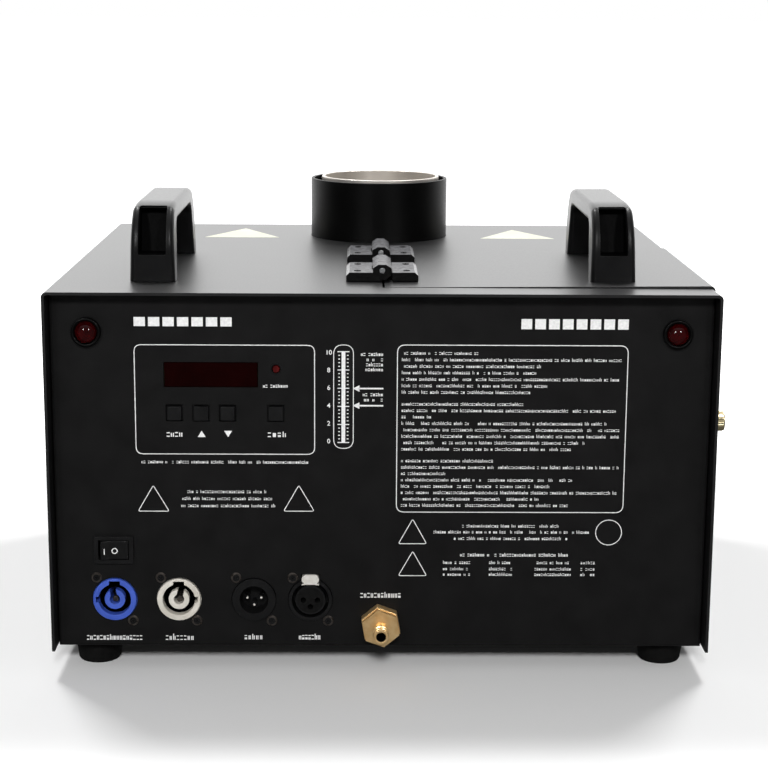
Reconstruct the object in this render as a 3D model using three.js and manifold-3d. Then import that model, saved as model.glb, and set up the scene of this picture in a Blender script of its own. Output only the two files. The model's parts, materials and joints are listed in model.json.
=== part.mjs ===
// Stage flame machine: a folded steel casing with a hinged canister lid, a chimney with
// its burner below, a gas train with two valves, and a panel of sockets and controls.
// Millimetres. X runs right, Y back and Z up, seen from the front panel. Inside this file
// X is 0 on the centre line, Y is 0 at the cover's front edge and Z is 0 on the ground.
import * as THREE from 'three';
import { mergeVertices } from 'three/addons/utils/BufferGeometryUtils.js';
import Module from 'manifold-3d';

const wasm = await Module();
wasm.setup();

// Casing
const coverWidth = 350;
const coverDepth = 300;
const coverHeight = 193.3;
const sheet = 1.5;
const bendRadius = 2.8;
const panelSetBack = 11.6;
const rearSetBack = 3;
const panelDrop = 1;
const panelBend = 2;
const panelFlange = 8;
const panelRelief = 0.6;
const trayFlange = 12;
const footHeight = 13.5;
const footRadius = 11.5;
const footInset = 23;
const footTaperShare = 0.87;

// Fits
const seatGap = 0.3;
const slideGap = 0.25;
const pinGap = 0.08;
const cutOverrun = 5;

// Lid over the canister bay
const lidFront = 21;
const lidRearClear = 19;
const lidSeam = 0.7;
const lidWallDrop = 95;
const lidAjar = THREE.MathUtils.degToRad(0.45);

// Hinges
const hingeLength = 40;
const hingeSpan = 38.6;
const hingeStartShares = { front: 0.128, rear: 0.59 };
const leafHeight = 5;
const leafChamfer = 1.8;
const pinHeight = 6;
const pinRadius = 1.5;
const barrelRadius = 5;

// Handles
const handleLength = 120;
const handleWidth = 23.5;
const handleHeight = 41;
const handleOffset = 122;

// Chimney and burner
const chimneyInset = 52;
const chimneyRadius = 43.3;
const chimneyWall = 2;
const chimneyHeight = 36.8;
const chimneyFlange = 3;
const flueGap = 3.3;
const flameTubeWall = 1.6;
const flameTubeProud = 1.3;
const deckLevel = 88;
const deckHalfWidth = 62;
const deckDepth = 78;
const deckToe = 14;
const nozzleRadius = 9;
const riserRadius = 5;
const electrodeSpread = 18;
const electrodeRadius = 4;

// Gas train
const inletHeight = 12.4;
const inletFlats = 18;
const inletShank = 6.5;
const pipeRadius = 3;
const manifoldWidth = 40;
const manifoldDepth = 24;
const manifoldHeight = 22;
const valveWidth = 26;
const coilHeight = 34;
const plungerRadius = 4.2;

// Canister bay
const canisterRadius = 34.5;
const cradleWidthShare = 0.5813;
const cradleDepthShare = 0.487;
const cradleHeight = 70;
const couplerRadius = 12;
const couplerHeight = 22;
const partitionX = -14;
const shieldClear = 5.7;

// Front panel fittings, measured from the cover's top, sides and lower edge
const lampInset = 21;
const lampDrop = 22.3;
const lampRadius = 7.75;
const lensRadius = 5.75;
const windowShare = 0.512;
const windowDrop = 45;
const windowWidth = 48.8;
const windowHeight = 12.9;
const ledAfterWindow = 34.1;
const ledDrop = 41.7;
const ledRadius = 2.1;
const buttonSize = 8.6;
const buttonDrop = 65.5;
const buttonPitch = 13.95;
const modeBeforeWindow = 19.3;
const resetAfterWindow = 33.9;
const buttonProud = 1.6;
const switchInset = 32.6;
const switchHeight = 53.2;
const switchWidth = 21;
const switchTall = 15;
const connectorShares = { powerIn: 0.8143, powerOut: 0.6183, signalOut: 0.216 };
const signalPitch = 30.2;
const connectorHeight = 25.5;
const connectorRadius = 11.7;
const connectorProud = 1.2;
const connectorLength = 24;

// Latch on the lid's side
const latchY = 29;
const latchDrop = 74;
const latchRadius = 5.5;
const latchReach = 8;

// Facets
const ringSides = 48;
const roundSides = 24;
const smallSides = 12;
const pipeSides = 10;
const octagon = 8;
const hexagon = 6;
const bendSteps = 4;
const pipeSteps = 26;
const socketSides = 32;

// Levels and faces that several pieces share
const halfWidth = coverWidth / 2;
const insideHalf = halfWidth - sheet;
const wallFoot = footHeight + panelDrop;
const topLevel = wallFoot + coverHeight;
const ceiling = topLevel - sheet;
const trayTop = footHeight + sheet;
const trayHalf = insideHalf - seatGap;
const panelBack = panelSetBack + sheet;
const rearPanelOuter = coverDepth - rearSetBack;
const rearPanelInner = rearPanelOuter - sheet;
const panelTop = ceiling - seatGap;
const hingeAxisZ = topLevel + pinHeight;
const chimneyY = coverDepth - chimneyInset;
const shieldY = chimneyY - chimneyRadius - chimneyFlange - shieldClear;
const lidRear = shieldY - lidRearClear;
const lidLength = lidRear - lidFront;
const cradleX = partitionX + cradleWidthShare * (insideHalf - partitionX);
const cradleY = lidFront + cradleDepthShare * lidLength;
const handleStart = (lidFront + lidRear - handleLength) / 2;
const ringInner = chimneyRadius - chimneyWall;
const flameTubeRadius = ringInner - flueGap;
const bayFloor = trayTop + seatGap;
const deckTop = deckLevel + sheet;
const deckReach = deckHalfWidth + deckToe;
const manifoldTop = bayFloor + manifoldHeight;
const pipeZ = wallFoot + inletHeight;
const valveX = manifoldWidth / 2 + seatGap + valveWidth / 2;

const black = { color: 0x161618, roughness: 0.45, metalness: 0.2 };
const finishes = {
  powderCoat: black,
  nylon: { color: 0x1b1b1c, roughness: 0.5, metalness: 0 },
  rubber: { color: 0x0f0f10, roughness: 0.9, metalness: 0 },
  stainless: { color: 0xb9b2a6, roughness: 0.28, metalness: 1 },
  zincSteel: { color: 0xa9abad, roughness: 0.4, metalness: 1 },
  brass: { color: 0xc99a4b, roughness: 0.3, metalness: 1 },
  copper: { color: 0xb8734a, roughness: 0.35, metalness: 1 },
  ceramic: { color: 0xe9e4d8, roughness: 0.5, metalness: 0 },
  blackPlastic: { color: 0x131314, roughness: 0.4, metalness: 0 },
  bluePlastic: { color: 0x2f55cf, roughness: 0.35, metalness: 0 },
  greyPlastic: { color: 0xd9d4c8, roughness: 0.4, metalness: 0 },
  redLens: { color: 0x6a0708, roughness: 0.15, metalness: 0 },
  circuitBoard: { color: 0x1d5a34, roughness: 0.6, metalness: 0 },
  coilResin: { color: 0x202427, roughness: 0.5, metalness: 0 },
};

const machine = new THREE.Group();
const fixed = new THREE.Group();
const lid = new THREE.Group();
machine.add(fixed, lid);

// Makes the named mesh of one piece and puts it in its group.
function piece(group, name, finish, geometry, x = 0, y = 0, z = 0) {
  const mesh = new THREE.Mesh(geometry, new THREE.MeshStandardMaterial(finishes[finish]));
  mesh.name = name;
  mesh.position.set(x, y, z);
  group.add(mesh);
  return mesh;
}

// A three.js geometry as a solid that can be joined and cut.
function solid(geometry) {
  const bare = geometry.clone();
  bare.deleteAttribute('normal');
  bare.deleteAttribute('uv');
  const merged = mergeVertices(bare);
  const vertProperties = new Float32Array(merged.attributes.position.array);
  const triVerts = new Uint32Array(merged.index.array);
  return new wasm.Manifold(new wasm.Mesh({ numProp: 3, vertProperties, triVerts }));
}

function geometryOf(manifold) {
  const mesh = manifold.getMesh();
  const geometry = new THREE.BufferGeometry();
  geometry.setAttribute('position', new THREE.BufferAttribute(mesh.vertProperties, 3));
  geometry.setIndex(new THREE.BufferAttribute(mesh.triVerts, 1));
  return geometry;
}

function join(...parts) {
  return parts.reduce((whole, part) => whole.add(part));
}

function cut(whole, ...tools) {
  return tools.reduce((rest, tool) => rest.subtract(tool), whole);
}

// A block from its lowest corner to its highest one.
function block(x0, x1, y0, y1, z0, z1) {
  const geometry = new THREE.BoxGeometry(x1 - x0, y1 - y0, z1 - z0);
  geometry.translate((x0 + x1) / 2, (y0 + y1) / 2, (z0 + z1) / 2);
  return solid(geometry);
}

// Outlines drawn in (x, z) run along Y, in (y, z) along X and in (x, y) along Z.
function alongY(shape, y0, y1, options = {}) {
  const settings = { depth: y1 - y0, bevelEnabled: false, curveSegments: bendSteps, ...options };
  const geometry = new THREE.ExtrudeGeometry(shape, settings);
  geometry.rotateX(Math.PI / 2);
  geometry.translate(0, y1, 0);
  return geometry;
}

function alongX(shape, x0, x1, options = {}) {
  const settings = { depth: x1 - x0, bevelEnabled: false, curveSegments: bendSteps, ...options };
  const geometry = new THREE.ExtrudeGeometry(shape, settings);
  const turn = new THREE.Matrix4();
  turn.makeBasis(new THREE.Vector3(0, 1, 0), new THREE.Vector3(0, 0, 1), new THREE.Vector3(1, 0, 0));
  geometry.applyMatrix4(turn);
  geometry.translate(x0, 0, 0);
  return geometry;
}

function alongZ(shape, z0, z1) {
  const geometry = new THREE.ExtrudeGeometry(shape, { depth: z1 - z0, bevelEnabled: false });
  geometry.translate(0, 0, z0);
  return geometry;
}

function polygon(points) {
  return new THREE.Shape(points.map(([a, b]) => new THREE.Vector2(a, b)));
}

// A profile of [radius, height] turned about Z. It runs up outside and down inside.
function turned(profile, sides) {
  const points = profile.map(([radius, height]) => new THREE.Vector2(radius, height));
  const geometry = new THREE.LatheGeometry(points, sides);
  geometry.rotateX(Math.PI / 2);
  return geometry;
}

function ringProfile(inner, outer, low, high) {
  return [[inner, low], [outer, low], [outer, high], [inner, high], [inner, low]];
}

// Turned about Z and laid down so that its height points to the front, along -Y.
function turnedForward(profile, sides) {
  const geometry = turned(profile, sides);
  geometry.rotateX(Math.PI / 2);
  return geometry;
}

// Turned about Z and laid down so that its height points right, along X.
function turnedRight(profile, sides) {
  const geometry = turned(profile, sides);
  geometry.rotateY(Math.PI / 2);
  return geometry;
}

function rodProfile(radius, low, high) {
  return [[0, low], [radius, low], [radius, high], [0, high]];
}

// The corner radius that a cut needs so that a round of this radius clears its flats.
function clearing(radius, sides) {
  return radius / Math.cos(Math.PI / sides);
}

// A straight cutter along Y through a panel, at a place in the panel.
function holeY(radius, sides, x, z, y0, y1) {
  const tool = solid(turnedForward(rodProfile(clearing(radius, sides), 0, y1 - y0), sides));
  return tool.translate([x, y1, z]);
}

function holeZ(radius, sides, x, y, z0, z1) {
  const tool = solid(turned(rodProfile(clearing(radius, sides), 0, z1 - z0), sides));
  return tool.translate([x, y, z0]);
}

// Where the front panel's fittings sit
const lampX = halfWidth - lampInset;
const lampZ = topLevel - lampDrop;
const windowX = -windowShare * halfWidth;
const windowZ = topLevel - windowDrop;
const ledX = windowX + ledAfterWindow;
const ledZ = topLevel - ledDrop;
const buttonZ = topLevel - buttonDrop;
const modeButtonX = windowX - modeBeforeWindow;
const resetButtonX = windowX + resetAfterWindow;
const switchX = switchInset - halfWidth;
const switchZ = wallFoot + switchHeight;
const connectorZ = wallFoot + connectorHeight;
const powerInX = -connectorShares.powerIn * halfWidth;
const powerOutX = -connectorShares.powerOut * halfWidth;
const signalOutX = -connectorShares.signalOut * halfWidth;
const signalInX = signalOutX - signalPitch;
const buttons = [
  ['mode_button', modeButtonX],
  ['up_button', modeButtonX + buttonPitch],
  ['down_button', modeButtonX + 2 * buttonPitch],
  ['reset_button', resetButtonX],
];

// Cover: one sheet over the top and down both sides, open where the lid closes it
function coverOutline(left, right, foot, top, leftFoot = foot) {
  const shape = new THREE.Shape();
  const inner = bendRadius - sheet;
  shape.moveTo(left, leftFoot);
  if (leftFoot < top - sheet) {
    shape.lineTo(left + sheet, leftFoot);
    shape.lineTo(left + sheet, top - bendRadius);
    shape.absarc(left + bendRadius, top - bendRadius, inner, Math.PI, Math.PI / 2, true);
  } else {
    shape.lineTo(left, top - sheet);
  }
  shape.lineTo(right - bendRadius, top - sheet);
  shape.absarc(right - bendRadius, top - bendRadius, inner, Math.PI / 2, 0, true);
  shape.lineTo(right - sheet, foot);
  shape.lineTo(right, foot);
  shape.lineTo(right, top - bendRadius);
  shape.absarc(right - bendRadius, top - bendRadius, bendRadius, 0, Math.PI / 2, false);
  if (leftFoot < top - sheet) {
    shape.lineTo(left + bendRadius, top);
    shape.absarc(left + bendRadius, top - bendRadius, bendRadius, Math.PI / 2, Math.PI, false);
  } else {
    shape.lineTo(left, top);
  }
  return shape;
}

function buildCover() {
  const shell = solid(alongY(coverOutline(-halfWidth, halfWidth, wallFoot, topLevel), 0, coverDepth));
  const lidFoot = topLevel - lidWallDrop;
  const pastSide = halfWidth + cutOverrun;
  const pastTop = topLevel + cutOverrun;
  const lidOpening = block(0, pastSide, lidFront, lidRear, lidFoot, pastTop);
  const holeRadius = chimneyRadius + seatGap;
  const chimneyHole = holeZ(holeRadius, ringSides, 0, chimneyY, ceiling - cutOverrun, pastTop);
  piece(fixed, 'cover_shell', 'powderCoat', geometryOf(cut(shell, lidOpening, chimneyHole)));
}

function buildTray() {
  const flangeTop = footHeight + trayFlange;
  const outline = polygon([
    [-trayHalf, footHeight], [trayHalf, footHeight], [trayHalf, flangeTop],
    [trayHalf - sheet, flangeTop], [trayHalf - sheet, trayTop],
    [sheet - trayHalf, trayTop], [sheet - trayHalf, flangeTop], [-trayHalf, flangeTop],
  ]);
  let tray = solid(alongY(outline, panelBack + seatGap, rearPanelInner - seatGap));
  const notchDepth = panelFlange + seatGap;
  const notchEnds = [[0, panelSetBack + notchDepth], [rearPanelOuter - notchDepth, coverDepth]];
  const inner = trayHalf - sheet - seatGap;
  for (const [y0, y1] of notchEnds) {
    tray = cut(
      tray,
      block(-trayHalf - cutOverrun, -inner, y0, y1, 0, flangeTop + cutOverrun),
      block(inner, trayHalf + cutOverrun, y0, y1, 0, flangeTop + cutOverrun),
    );
  }
  piece(fixed, 'base_tray', 'powderCoat', geometryOf(tray));
}

// A panel folded back along its top and sides, with its outer face at Y 0
function foldedPanel() {
  const side = trayHalf - panelBend;
  const low = footHeight + panelBend;
  const high = panelTop - panelBend;
  const outline = polygon([
    [-side, low], [side, low], [side, high - panelRelief], [side - panelRelief, high],
    [panelRelief - side, high], [-side, high - panelRelief],
  ]);
  const bend = { bevelEnabled: true, bevelSize: panelBend, bevelThickness: panelBend };
  const whole = alongY(outline, panelBend, 2 * panelFlange, { ...bend, bevelSegments: bendSteps });
  const pastSide = trayHalf + cutOverrun;
  const pastTop = panelTop + cutOverrun;
  const pastBack = 2 * panelFlange + panelBend + cutOverrun;
  const under = footHeight - cutOverrun;
  const behind = block(-pastSide, pastSide, panelFlange, pastBack, under, pastTop);
  const hollow = block(sheet - trayHalf, trayHalf - sheet, sheet, pastBack, under, panelTop - sheet);
  return cut(solid(whole), behind, hollow);
}

function buildFrontPanel() {
  const front = -cutOverrun;
  const back = sheet + cutOverrun;
  const round = (radius, x, z) => holeY(radius + slideGap, roundSides, x, z, front, back);
  const square = (x, z, width, height) => {
    const w = width / 2 + slideGap;
    const h = height / 2 + slideGap;
    return block(x - w, x + w, front, back, z - h, z + h);
  };
  const holes = [
    round(lensRadius, -lampX, lampZ),
    round(lensRadius, lampX, lampZ),
    square(windowX, windowZ, windowWidth, windowHeight),
    round(ledRadius, ledX, ledZ),
    square(switchX, switchZ, rockerCase.width, rockerCase.height),
    round(inletShank, 0, pipeZ),
    square(signalOutX, connectorZ + tab.offset, tab.width, tab.height),
  ];
  for (const [, x] of buttons) {
    holes.push(square(x, buttonZ, buttonSize, buttonSize));
  }
  for (const x of [powerInX, powerOutX, signalInX, signalOutX]) {
    holes.push(round(connectorRadius, x, connectorZ));
  }
  const geometry = geometryOf(cut(foldedPanel(), ...holes));
  piece(fixed, 'front_panel', 'powderCoat', geometry, 0, panelSetBack, 0);
}

function buildRearPanel() {
  const slotWidth = 46;
  const slotHeight = 4;
  const slotPitch = 10;
  const slotCount = 8;
  const slotInset = 75;
  const slotDrop = 40;
  let panel = foldedPanel();
  for (const x of [-slotInset, slotInset]) {
    for (let i = 0; i < slotCount; i += 1) {
      const top = topLevel - slotDrop - i * slotPitch;
      const reach = slotWidth / 2;
      const slot = block(x - reach, x + reach, -cutOverrun, sheet + cutOverrun, top - slotHeight, top);
      panel = panel.subtract(slot);
    }
  }
  const clear = chimneyRadius + chimneyFlange + seatGap;
  const under = ceiling - panelFlange;
  const bay = holeZ(clear, ringSides, 0, rearPanelOuter - chimneyY, under, topLevel);
  const geometry = geometryOf(panel.subtract(bay));
  const mesh = piece(fixed, 'rear_panel', 'powderCoat', geometry, 0, rearPanelOuter, 0);
  mesh.rotation.z = Math.PI;
}

function buildFeet() {
  const lowRadius = footRadius * footTaperShare;
  const edge = 1;
  const top = footHeight - seatGap;
  const profile = [[0, 0], [lowRadius - edge, 0], [lowRadius, edge], [footRadius, top], [0, top]];
  const nearY = panelSetBack + footInset;
  const sideX = halfWidth - footInset;
  for (const [row, y] of [['front', nearY], ['rear', coverDepth - nearY]]) {
    for (const [side, x] of [['left', -sideX], ['right', sideX]]) {
      piece(fixed, `foot_${row}_${side}`, 'rubber', turned(profile, roundSides), x, y, 0);
    }
  }
}

// Bridge handle: leaning ends with a deep screw pocket each, and a crowned grip
const handle = {
  lean: 12, shoulder: 16, rimDrop: 1.4, crownRun: 20, bulge: 1.5, bulgeDrop: 9, bulgeRun: 8,
  grip: 10, leg: 15, legLean: 7, archCorner: 8, edge: 2, taperShare: 0.11,
  pocketWidth: 14, pocketSill: 14, pocketDepth: 9.5, pocketRoof: 1.3,
};

function handleOutline() {
  const half = handleLength / 2;
  const rim = handleHeight - handle.rimDrop;
  const rimY = half - handle.lean;
  const crownY = rimY - handle.crownRun;
  const under = handleHeight - handle.grip;
  const inner = half - handle.leg;
  const innerTop = inner - handle.legLean;
  const archY = innerTop - handle.archCorner;
  const archZ = under - handle.archCorner;
  const bulgeY = half - handle.bulge;
  const bulgeZ = handleHeight - handle.bulgeDrop;
  const softY = rimY - handle.bulgeRun;
  const shape = new THREE.Shape();
  shape.moveTo(-half, 0);
  shape.lineTo(-inner, 0);
  shape.lineTo(-innerTop, archZ);
  shape.quadraticCurveTo(-innerTop, under, -archY, under);
  shape.lineTo(archY, under);
  shape.quadraticCurveTo(innerTop, under, innerTop, archZ);
  shape.lineTo(inner, 0);
  shape.lineTo(half, 0);
  shape.lineTo(half, handle.shoulder);
  shape.quadraticCurveTo(bulgeY, bulgeZ, rimY, rim);
  shape.quadraticCurveTo(softY, handleHeight, crownY, handleHeight);
  shape.lineTo(-crownY, handleHeight);
  shape.quadraticCurveTo(-softY, handleHeight, -rimY, rim);
  shape.quadraticCurveTo(-bulgeY, bulgeZ, -half, handle.shoulder);
  return shape;
}

function handleSolid() {
  const reach = handleWidth / 2;
  const bevel = { bevelEnabled: true, bevelThickness: handle.edge, bevelSize: handle.edge };
  const options = { ...bevel, bevelOffset: -handle.edge, bevelSegments: 2 };
  const geometry = alongX(handleOutline(), handle.edge - reach, reach - handle.edge, options);
  const points = geometry.attributes.position;
  for (let i = 0; i < points.count; i += 1) {
    const share = 1 - handle.taperShare * (points.getZ(i) / handleHeight);
    points.setX(i, points.getX(i) * share);
  }
  const half = handleLength / 2;
  const side = handle.pocketWidth / 2;
  const roof = handleHeight - handle.rimDrop - handle.pocketRoof;
  const deep = half - handle.pocketDepth;
  const past = half + cutOverrun;
  const nearPocket = block(-side, side, -past, -deep, handle.pocketSill, roof);
  const farPocket = block(-side, side, deep, past, handle.pocketSill, roof);
  return cut(solid(geometry), nearPocket, farPocket);
}

function buildHandles() {
  const y = handleStart + handleLength / 2;
  const z = topLevel + seatGap;
  const geometry = geometryOf(handleSolid());
  piece(fixed, 'left_handle', 'nylon', geometry, -handleOffset, y, z);
  piece(lid, 'right_handle', 'nylon', geometry.clone(), handleOffset, y, z);
}

// Butt hinge: two leaves, three knuckles on one pin. x 0 and z 0 lie on the pin's axis.
const knuckleGap = 0.4;
const knuckleShares = [0, 0.31, 0.69, 1];

function knuckle(start, end) {
  const turn = Math.PI / octagon;
  const corner = clearing(barrelRadius, octagon);
  const shape = new THREE.Shape();
  for (let i = 0; i < octagon; i += 1) {
    const angle = turn * (2 * i + 1);
    const x = corner * Math.cos(angle);
    const z = corner * Math.sin(angle);
    if (i === 0) {
      shape.moveTo(x, z);
    } else {
      shape.lineTo(x, z);
    }
  }
  return solid(alongY(shape, start, end));
}

// One leaf on the side that sign says, with its own knuckles joined and the others cleared
function leaf(sign, own, others) {
  const low = seatGap - pinHeight;
  const high = leafHeight - pinHeight;
  const outer = hingeSpan / 2;
  const chamfer = [[outer, high - leafChamfer], [outer - leafChamfer, high]];
  const plate = [[seatGap, low], [outer, low], ...chamfer, [seatGap, high]];
  const outline = polygon(plate.map(([x, z]) => [sign * x, z]));
  let body = solid(alongY(outline, 0, hingeLength));
  for (const [start, end] of own) {
    body = body.add(knuckle(start, end));
  }
  const clear = barrelRadius + knuckleGap;
  for (const [start, end] of others) {
    const from = start - knuckleGap;
    body = body.subtract(block(-clear, clear, from, end + knuckleGap, -pinHeight, clear));
  }
  return body.subtract(holeY(pinRadius + pinGap, smallSides, 0, 0, -cutOverrun, hingeLength + cutOverrun));
}

function buildHinges() {
  const [a, b, c, d] = knuckleShares.map((share) => share * hingeLength);
  const ends = [[a, b], [c, d]];
  const middle = [[b + knuckleGap, c - knuckleGap]];
  const headGap = 0.2;
  const pin = turnedForward(rodProfile(pinRadius, headGap - hingeLength, -headGap), smallSides);
  for (const [row, share] of Object.entries(hingeStartShares)) {
    const y = lidFront + share * lidLength;
    const fixedLeaf = geometryOf(leaf(-1, ends, middle));
    const lidLeaf = geometryOf(leaf(1, middle, ends));
    piece(fixed, `${row}_hinge_fixed_leaf`, 'powderCoat', fixedLeaf, 0, y, hingeAxisZ);
    piece(lid, `${row}_hinge_lid_leaf`, 'powderCoat', lidLeaf, 0, y, hingeAxisZ);
    piece(fixed, `${row}_hinge_pin`, 'zincSteel', pin.clone(), 0, y, hingeAxisZ);
  }
}

// Lid: covers the bay from the hinge line over the right-hand bend and down the side
function buildLid() {
  const outline = coverOutline(lidSeam, halfWidth, topLevel - lidWallDrop + lidSeam, topLevel, topLevel);
  const plate = solid(alongY(outline, lidFront + lidSeam, lidRear - lidSeam));
  const radius = clearing(latch.stem + pinGap, smallSides);
  const hole = solid(turnedRight(rodProfile(radius, -cutOverrun, cutOverrun), smallSides));
  const place = hole.translate([halfWidth, latchY, topLevel - latchDrop]);
  piece(lid, 'lid_panel', 'powderCoat', geometryOf(plate.subtract(place)));
}

// Quarter-turn latch: a knurled knob outside, and a cam that hooks behind the panel's flange
const latch = { stem: 2.4, camSeat: 3.1, camThick: 2, camWidth: 8, camReach: 13, collar: 4, nick: 0.35 };

function buildLatch() {
  const z = topLevel - latchDrop;
  const camEnd = -sheet - latch.camSeat - latch.camThick;
  const knobSides = roundSides;
  const rim = latchRadius - latch.nick;
  const edge = latch.nick * 2;
  const knob = [
    [0, camEnd], [latch.stem, camEnd], [latch.stem, seatGap], [rim, seatGap],
    [latchRadius, seatGap + edge], [latchRadius, latchReach - edge], [rim, latchReach], [0, latchReach],
  ];
  piece(lid, 'latch_knob', 'brass', turnedRight(knob, knobSides), halfWidth, latchY, z);
  const half = latch.camWidth / 2;
  const arm = block(camEnd, camEnd + latch.camThick, -half, half, -latch.camReach, half);
  const collarEnd = -sheet - seatGap;
  const ring = solid(turnedRight(rodProfile(latch.collar, camEnd, collarEnd), smallSides));
  const bore = clearing(latch.stem + pinGap, knobSides);
  const hole = solid(turnedRight(rodProfile(bore, camEnd - cutOverrun, cutOverrun), knobSides));
  const cam = geometryOf(cut(join(arm, ring), hole));
  piece(lid, 'latch_cam', 'zincSteel', cam, halfWidth, latchY, z);
}

// Chimney: a black outer ring with a flange under the cover, and the flame tube inside
function buildChimney() {
  const flangeTop = ceiling - seatGap;
  const flangeLow = flangeTop - sheet;
  const top = topLevel + chimneyHeight;
  const ring = [
    [ringInner, flangeLow], [chimneyRadius + chimneyFlange, flangeLow],
    [chimneyRadius + chimneyFlange, flangeTop], [chimneyRadius, flangeTop],
    [chimneyRadius, top], [ringInner, top], [ringInner, flangeLow],
  ];
  piece(fixed, 'chimney_ring', 'powderCoat', turned(ring, ringSides), 0, chimneyY, 0);
  const tube = ringProfile(
    flameTubeRadius - flameTubeWall, flameTubeRadius, deckTop + seatGap, top + flameTubeProud,
  );
  piece(fixed, 'flame_tube', 'stainless', turned(tube, ringSides), 0, chimneyY, 0);
}

// Burner deck: a bridge over the valves that carries the flame tube, nozzle and electrodes
function buildBurner() {
  const legOuter = deckHalfWidth;
  const legInner = deckHalfWidth - sheet;
  const footTop = bayFloor + sheet;
  const outline = polygon([
    [-deckReach, bayFloor], [-legInner, bayFloor], [-legInner, deckLevel], [legInner, deckLevel],
    [legInner, bayFloor], [deckReach, bayFloor], [deckReach, footTop], [legOuter, footTop],
    [legOuter, deckTop], [-legOuter, deckTop], [-legOuter, footTop], [-deckReach, footTop],
  ]);
  const start = chimneyY - deckDepth / 2;
  const low = deckLevel - cutOverrun;
  const high = deckTop + cutOverrun;
  const airHoles = 8;
  const airRadius = 4;
  const airRing = 28;
  const tools = [holeZ(riserRadius + slideGap, roundSides, 0, chimneyY, low, high)];
  for (const x of [-electrodeSpread, electrodeSpread]) {
    tools.push(holeZ(electrodeRadius + slideGap, smallSides, x, chimneyY, low, high));
  }
  for (let i = 0; i < airHoles; i += 1) {
    const angle = (i + 0.5) * 2 * Math.PI / airHoles;
    const x = airRing * Math.cos(angle);
    const y = chimneyY + airRing * Math.sin(angle);
    tools.push(holeZ(airRadius, octagon, x, y, low, high));
  }
  const deck = cut(solid(alongY(outline, start, start + deckDepth)), ...tools);
  piece(fixed, 'burner_deck', 'zincSteel', geometryOf(deck));

  const jetRadius = 1.6;
  const headStart = deckTop + seatGap;
  const headHeight = 20;
  const cupDepth = 6;
  const headTop = headStart + headHeight;
  const cupFloor = headTop - cupDepth;
  const lip = 2;
  const nozzle = [
    [0, manifoldTop + seatGap + lip], [jetRadius, manifoldTop + seatGap],
    [riserRadius, manifoldTop + seatGap], [riserRadius, headStart],
    [nozzleRadius, headStart], [nozzleRadius, headTop], [nozzleRadius - lip, headTop],
    [nozzleRadius - lip, cupFloor], [jetRadius, cupFloor],
    [jetRadius, headStart], [0, headStart - lip],
  ];
  piece(fixed, 'burner_nozzle', 'brass', turned(nozzle, roundSides), 0, chimneyY, 0);

  const ceramicReach = 14;
  const sparkRise = 12;
  const ceramicLow = deckLevel - ceramicReach;
  const ceramicHigh = deckTop + ceramicReach;
  const rodTop = headTop + sparkRise;
  const rod = 1.2;
  const collar = 1.4;
  const electrode = [
    [0, ceramicLow - collar], [rod, ceramicLow - collar], [rod, ceramicLow],
    [electrodeRadius, ceramicLow], [electrodeRadius, deckTop + seatGap],
    [electrodeRadius + collar, deckTop + seatGap], [electrodeRadius + collar, deckTop + 2 * collar],
    [electrodeRadius, deckTop + 3 * collar], [rod * 2, ceramicHigh], [rod, ceramicHigh],
    [rod, rodTop], [0, rodTop],
  ];
  for (const [side, x] of [['left', -electrodeSpread], ['right', electrodeSpread]]) {
    const geometry = turned(electrode, pipeSides);
    piece(fixed, `${side}_electrode`, 'ceramic', geometry, x, chimneyY, 0);
  }
}

// Gas train: manifold under the nozzle, and a coil valve each side of it
const valve = { port: 6, portReach: 5, coilInset: 1, coilDeep: 30, seat: 15, rise: 3 };

function buildManifold() {
  const half = manifoldWidth / 2;
  const deep = manifoldDepth / 2;
  const edge = 2;
  const body = [
    [-half, edge], [edge - half, 0], [half - edge, 0], [half, edge], [half, manifoldHeight - edge],
    [half - edge, manifoldHeight], [edge - half, manifoldHeight], [-half, manifoldHeight - edge],
  ];
  const casting = solid(alongY(polygon(body), chimneyY - deep, chimneyY + deep));
  const mouth = holeZ(riserRadius / 2, smallSides, 0, chimneyY, manifoldHeight / 2, manifoldHeight + edge);
  piece(fixed, 'gas_manifold', 'brass', geometryOf(casting.subtract(mouth)), 0, 0, bayFloor);
}

function buildValve(name, plungerName, sign) {
  const x = sign * valveX;
  const half = valveWidth / 2;
  const deep = manifoldDepth / 2;
  const coilDeep = valve.coilDeep / 2;
  const body = block(-half, half, -deep, deep, 0, manifoldHeight);
  const coilHalf = half - valve.coilInset;
  const overlap = valve.coilInset;
  const coilTop = manifoldHeight + coilHeight;
  const coil = block(-coilHalf, coilHalf, -coilDeep, coilDeep, manifoldHeight - overlap, coilTop);
  const portZ = pipeZ - bayFloor;
  const port = solid(turnedForward(rodProfile(valve.port, 0, deep + valve.portReach), roundSides));
  const bore = holeZ(plungerRadius + slideGap, roundSides, 0, 0, valve.seat, coilTop + cutOverrun);
  const inletBore = holeY(pipeRadius, pipeSides, 0, portZ, -deep - 2 * valve.portReach, -deep);
  const whole = cut(join(body, coil, port.translate([0, 0, portZ])), bore, inletBore);
  piece(fixed, name, 'coilResin', geometryOf(whole), x, chimneyY, bayFloor);
  const low = valve.seat + seatGap;
  const plunger = turned(rodProfile(plungerRadius, low, coilTop + valve.rise), roundSides);
  piece(fixed, plungerName, 'zincSteel', plunger, x, chimneyY, bayFloor);
}

// A pipe of round section along a list of points
function pipe(points) {
  const section = new THREE.Shape();
  section.absarc(0, 0, pipeRadius, 0, 2 * Math.PI, false);
  const outline = new THREE.Shape(section.getPoints(pipeSides / 2).slice(0, -1));
  const places = points.map((point) => new THREE.Vector3(...point));
  const extrudePath = new THREE.CatmullRomCurve3(places, false, 'centripetal');
  return new THREE.ExtrudeGeometry(outline, { steps: pipeSteps, bevelEnabled: false, extrudePath });
}

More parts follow.
